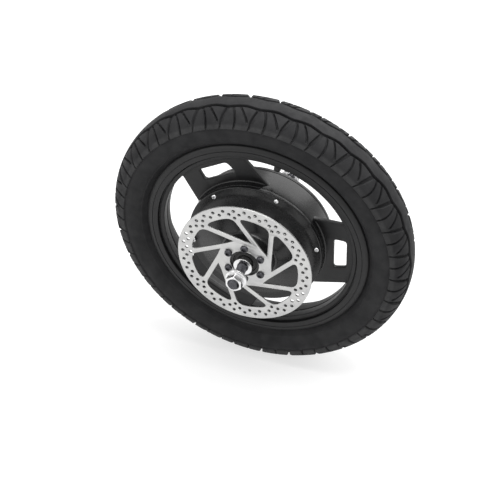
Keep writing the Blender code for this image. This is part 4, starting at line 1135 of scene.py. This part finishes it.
def nut_rings(side):
    """A hexagon nut with a sloped flange and a chamfered top."""
    bore = AXLE_THREAD_RADIUS + GAP / 2
    hexed = hexagon(NUT_ACROSS_FLATS)
    corner = NUT_ACROSS_FLATS / sqrt(3)
    blunt = corner * NUT_CORNER_SHARE
    face = NUT_ACROSS_FLATS / 2 * NUT_FACE_SHARE
    slope = tan(radians(30))
    top = NUT_Y + NUT_HEIGHT
    waist = NUT_Y + NUT_FLANGE_HEIGHT
    flange = [
        (bore + 0.0008, side * NUT_Y),
        (NUT_FLANGE_RADIUS - NUT_EDGE, side * NUT_Y),
        (NUT_FLANGE_RADIUS, side * (NUT_Y + NUT_EDGE)),
        (NUT_FLANGE_RADIUS, side * (NUT_Y + NUT_FLANGE_HEIGHT * 0.4)),
        (NUT_FLANGE_RADIUS - NUT_EDGE, side * (NUT_Y + NUT_FLANGE_HEIGHT * 0.55)),
        (corner + 0.0009, side * (waist - 0.0002)),
    ]
    rings = turned_rings(flange, SHAFT_SIDES)
    rings.append(shaped_ring(SHAFT_SIDES, side * waist, lambda a: min(hexed(a), blunt) + 0.0002))
    rings.append(shaped_ring(SHAFT_SIDES, side * (waist + 0.0005), lambda a: min(hexed(a), blunt)))
    chamfer = (corner - face) * slope
    for step in range(NUT_CHAMFER_STEPS + 1):
        below = chamfer * (1 - step / NUT_CHAMFER_STEPS)
        limit = min(face + below / slope, blunt)
        rings.append(shaped_ring(SHAFT_SIDES, side * (top - below), lambda a, r=limit: min(hexed(a), r)))
    mouth = [(bore + NUT_MOUTH, side * top), (bore, side * (top - NUT_MOUTH))]
    return rings + turned_rings(mouth, SHAFT_SIDES)


def sleeve_profile(bore, side, bearing_y):
    """Section of a spacer from the bearing to the dropout, with a collar at the dropout."""
    start = bearing_y + side * GAP
    face = side * DROPOUT_FACE_Y
    collar = face - side * SLEEVE_COLLAR_LENGTH
    corners = [
        (bore, start, 0),
        (SLEEVE_RADIUS, start, 0),
        (SLEEVE_RADIUS, collar, 0.0006),
        (SLEEVE_COLLAR_RADIUS, collar, 0.0005),
        (SLEEVE_COLLAR_RADIUS, face, 0.0005),
        (bore, face, 0.0004),
    ]
    return rounded(corners)


def axle_hardware():
    """Nuts, washers and sleeves on both ends of the axle."""
    bore = AXLE_THREAD_RADIUS + GAP
    for name, side, bearing_y in (("left", -1, LEFT_SEAT[0]), ("right", 1, RIGHT_SEAT[1])):
        nut = lofted(nut_rings(side), closed=True)
        piece(f"{name}_flange_nut", nut, "zinc", "axle", f"{name}_axle_nut", sharp=25)
        ends = (side * WASHER_Y, side * (WASHER_Y + WASHER_THICKNESS))
        washer = turned(plain_ring(bore, WASHER_RADIUS, *ends, WASHER_EDGE), SHAFT_SIDES)
        piece(f"{name}_plain_washer", washer, "zinc", "axle", f"{name}_axle_washer")
        sleeve = turned(sleeve_profile(bore, side, bearing_y), SHAFT_SIDES)
        piece(f"{name}_spacer_sleeve", sleeve, "zinc", "axle", f"{name}_axle_sleeve")


def thread_rings(side):
    """Rings of a threaded end with two flats, from the dropout face to the axle's end."""
    step = AXLE_THREAD_PITCH / AXLE_THREAD_ROWS
    count = int((AXLE_END - DROPOUT_FACE_Y) / step)
    rings = []
    for row in range(count + 1):
        y = DROPOUT_FACE_Y + (AXLE_END - DROPOUT_FACE_Y) * row / count
        limit = AXLE_THREAD_RADIUS - max(0, AXLE_CHAMFER - (AXLE_END - y))
        ring = []
        for angle in turns(SHAFT_SIDES):
            phase = (y / AXLE_THREAD_PITCH + angle / tau) % 1
            height = min(1, max(0, AXLE_THREAD_SLOPE * abs(phase - 0.5) - AXLE_THREAD_CREST))
            radius = min(limit, AXLE_THREAD_RADIUS - AXLE_THREAD_DEPTH * height)
            x, z = polar(radius, angle)
            ring.append((max(-AXLE_FLAT_HALF, min(AXLE_FLAT_HALF, x)), side * y, z))
        rings.append(ring)
    return rings


def axle():
    """The shaft with its threads, flats, a lathe centre in the left end and a bore in the right one."""
    steps = (
        (AXLE_THREAD_RADIUS, -DROPOUT_FACE_Y, LEFT_SEAT[0]),
        (BEARING_SEAT_RADIUS, *LEFT_SEAT),
        (AXLE_BODY_RADIUS, LEFT_SEAT[1], RIGHT_SEAT[0]),
        (BEARING_SEAT_RADIUS, *RIGHT_SEAT),
        (AXLE_THREAD_RADIUS, RIGHT_SEAT[1], DROPOUT_FACE_Y),
    )
    body = [(radius, y) for radius, *ends in steps for y in ends]
    left_face = [(0, CENTRE_DRILL - AXLE_END), (CENTRE_DRILL, -AXLE_END)]
    bore_end = AXLE_END - CABLE_BORE_DEPTH
    right_face = [(CABLE_BORE_RADIUS, AXLE_END), (CABLE_BORE_RADIUS, bore_end), (0, bore_end)]
    rings = turned_rings(left_face, SHAFT_SIDES)
    rings += reversed(thread_rings(-1))
    rings += turned_rings(body, SHAFT_SIDES)
    rings += thread_rings(1)
    rings += turned_rings(right_face, SHAFT_SIDES)
    piece("threaded_axle", lofted(rings), "dark_steel", "axle", "axle", sharp=40)


# Brake disc


def disc_opening(angle):
    """The opening between two slanted arms, with its corners well rounded."""
    near = DISC_ARM_OFFSET - DISC_ARM_WIDTH / 2
    far = DISC_ARM_OFFSET + DISC_ARM_WIDTH / 2
    foot = angle - acos(DISC_ARM_OFFSET / DISC_ROOT_HOLE_CIRCLE)
    bottom = DISC_HUB_RADIUS
    top = DISC_BAND_INNER_RADIUS
    start_low = foot + acos(near / bottom)
    start_high = foot + acos(near / top)
    end_low = foot + DISC_ARM_PITCH + acos(far / bottom)
    end_high = foot + DISC_ARM_PITCH + acos(far / top)
    hub = arc(bottom, end_low, start_low, 16)
    band = arc(top, start_high, end_high, 32)
    edges = [hub, [hub[-1], band[0]], band, [band[-1], hub[0]]]
    inner, outer = DISC_INNER_CORNER, DISC_OUTER_CORNER
    return eased_loop(edges, [inner, outer, outer, inner], steps=8)


def brake_disc():
    hole_pitch = DISC_ARM_PITCH / DISC_HOLES_PER_ARM
    outlines = [circle(DISC_RADIUS, DISC_SIDES), circle(DISC_BORE_RADIUS, SHAFT_SIDES)]
    for arm in range(DISC_ARM_COUNT):
        angle = DISC_ARM_ANGLE + arm * DISC_ARM_PITCH
        outlines.append(disc_opening(angle))
        holes = [polar(DISC_ROOT_HOLE_CIRCLE, angle)]
        for hole in range(DISC_HOLES_PER_ARM):
            holes.append(polar(DISC_OUTER_HOLE_CIRCLE, angle + hole * hole_pitch))
            holes.append(polar(DISC_MIDDLE_HOLE_CIRCLE, angle + (hole + 0.5) * hole_pitch))
        outlines += [circle(DISC_HOLE_RADIUS, DISC_HOLE_SIDES, place) for place in holes]
    bm = plate(outlines, DISC_FRONT_Y, DISC_BACK_Y, DISC_EDGE, 1)
    piece("pierced_brake_disc", bm, "disc_steel", "wheel", "brake_disc", sharp=25)


# Valve


def valve_place():
    """Takes a shape made along +Y to the valve's place, where +Y points from the axle outwards."""
    middle = Matrix.Translation((0, VALVE_Y, 0))
    return middle @ turn_about_y(VALVE_ANGLE) @ Matrix.Rotation(-pi / 2, 4, "Z")


def valve_stem():
    """Section of a snap-in rubber stem, from its foot inside the rim to its end under the cap."""
    body = VALVE_BODY_RADIUS
    foot = body + VALVE_FOOT_LIP
    collar = VALVE_COLLAR_TOP
    return [
        (0, WELL_RADIUS + VALVE_FOOT_HEIGHT),
        (body, WELL_RADIUS + VALVE_FOOT_HEIGHT),
        (foot, WELL_RADIUS + VALVE_FOOT_HEIGHT / 2),
        (foot, WELL_RADIUS + GAP),
        (body, WELL_RADIUS + GAP),
        (body, collar),
        (VALVE_COLLAR_RADIUS, collar),
        (VALVE_COLLAR_RADIUS, collar - 0.0008),
        (VALVE_COLLAR_RADIUS - 0.0006, collar - 0.0016),
        (body, collar - VALVE_COLLAR_HEIGHT),
        (body, VALVE_BODY_END + 0.0004),
        (body - 0.0004, VALVE_BODY_END),
        (VALVE_STEM_RADIUS, VALVE_BODY_END),
        (VALVE_STEM_RADIUS, VALVE_STEM_END),
        (0, VALVE_STEM_END),
    ]


def valve_cap():
    """Rings of a ribbed cap over the end of the stem."""

    def ribbed(angle):
        return VALVE_CAP_RADIUS - VALVE_RIB_DEPTH * (1 + cos(VALVE_CAP_RIBS * angle)) / 2

    sides = VALVE_CAP_RIBS * 6
    mouth = VALVE_BODY_END - GAP
    bottom = mouth - VALVE_CAP_BORE_DEPTH
    end = VALVE_STEM_END - VALVE_CAP_END
    bore = VALVE_STEM_RADIUS + GAP
    inside = [(0, bottom), (bore, bottom), (bore, mouth), (VALVE_CAP_RADIUS - 0.0004, mouth)]
    top = [(VALVE_CAP_RADIUS * 0.86, end + 0.0003), (VALVE_CAP_RADIUS * 0.62, end), (0, end)]
    ribs = [shaped_ring(sides, mouth - 0.0003, ribbed), shaped_ring(sides, end + 0.0009, ribbed)]
    return turned_rings(inside, sides) + ribs + turned_rings(top, sides)


def valve():
    stem = turned(valve_stem(), SCREW_SIDES, closed=False)
    stem.transform(valve_place())
    piece("rubber_valve_stem", stem, "seal_rubber", "wheel", "valve_stem")
    cap = lofted(valve_cap())
    cap.transform(valve_place())
    piece("ribbed_valve_cap", cap, "black_plastic", "wheel", "valve_cap")


# Stage


def floor():
    """A pale floor under the tyre. The camera and gloss see it white, apart from the object's shadow."""
    mesh = bpy.data.meshes.new("floor")
    half = FLOOR_SIZE / 2
    height = CAD_BOX[0].z
    corners = [(x * half, y * half, height) for x, y in ((-1, -1), (1, -1), (1, 1), (-1, 1))]
    mesh.from_pydata(corners, [], [(0, 1, 2, 3)])
    made = linked("floor", mesh)
    finish = bpy.data.materials.new("pale floor")
    finish.use_nodes = True
    tree = finish.node_tree
    tree.nodes.clear()
    diffuse = node(tree, "BsdfDiffuse", {"Color": (FLOOR_GREY, FLOOR_GREY, FLOOR_GREY, 1)})
    glow = node(tree, "Emission", {"Strength": maths(tree, "MULTIPLY", seen_ray(tree), FLOOR_GLOW)})
    both = node(tree, "AddShader", {0: diffuse.outputs["BSDF"], 1: glow.outputs["Emission"]})
    node(tree, "OutputMaterial", {"Surface": both.outputs["Shader"]})
    mesh.materials.append(finish)


def seen_ray(tree):
    """1 for rays that show the background: from the camera, in gloss and through glass."""
    path = tree.nodes.new("ShaderNodeLightPath")
    seen = maths(tree, "MAXIMUM", path.outputs["Is Camera Ray"], path.outputs["Is Glossy Ray"])
    return maths(tree, "MAXIMUM", seen, path.outputs["Is Transmission Ray"])


def world():
    made = bpy.data.worlds.new("studio")
    bpy.context.scene.world = made
    made.use_nodes = True
    tree = made.node_tree
    background = tree.nodes["Background"]
    background.inputs["Color"].default_value = (1, 1, 1, 1)
    seen = maths(tree, "MULTIPLY", seen_ray(tree), 1 - WORLD_LIGHT)
    strength = maths(tree, "ADD", seen, WORLD_LIGHT)
    tree.links.new(strength, background.inputs["Strength"])


def aimed(name, data, direction, distance=1.0):
    """An object that looks at the origin from this direction."""
    made = linked(name, data)
    made.location = direction * distance
    made.rotation_mode = "QUATERNION"
    made.rotation_quaternion = (-direction).to_track_quat("-Z", "Y")
    return made


def lights():
    for name, place, size, power in LIGHTS:
        data = bpy.data.lights.new(name, "AREA")
        data.shape = "SQUARE"
        data.size = size
        data.energy = power
        aimed(name, data, Vector(place))


def camera():
    """The photo's view: its turn, height and distance, and its framing by the lens shift."""
    front, right = polar(cos(CAMERA_ELEVATION), CAMERA_AZIMUTH)
    back = Vector((right, -front, sin(CAMERA_ELEVATION)))
    data = bpy.data.cameras.new("photo_view")
    data.lens = CAMERA_LENS
    data.sensor_width = CAMERA_SENSOR
    data.shift_x = (IMAGE_WIDTH / 2 - WHEEL_CENTRE_PIXEL[0]) / IMAGE_WIDTH
    data.shift_y = (WHEEL_CENTRE_PIXEL[1] - IMAGE_WIDTH / 2) / IMAGE_WIDTH
    bpy.context.scene.camera = aimed("photo_view", data, back, CAMERA_DISTANCE)


camera()
world()
lights()
floor()
bpy.context.scene.view_settings.view_transform = "Standard"
dress_kept_nodes()
tyre()
wheel_casting()
covers()
seals()
brake_disc()
screws()
axle()
axle_hardware()
valve()
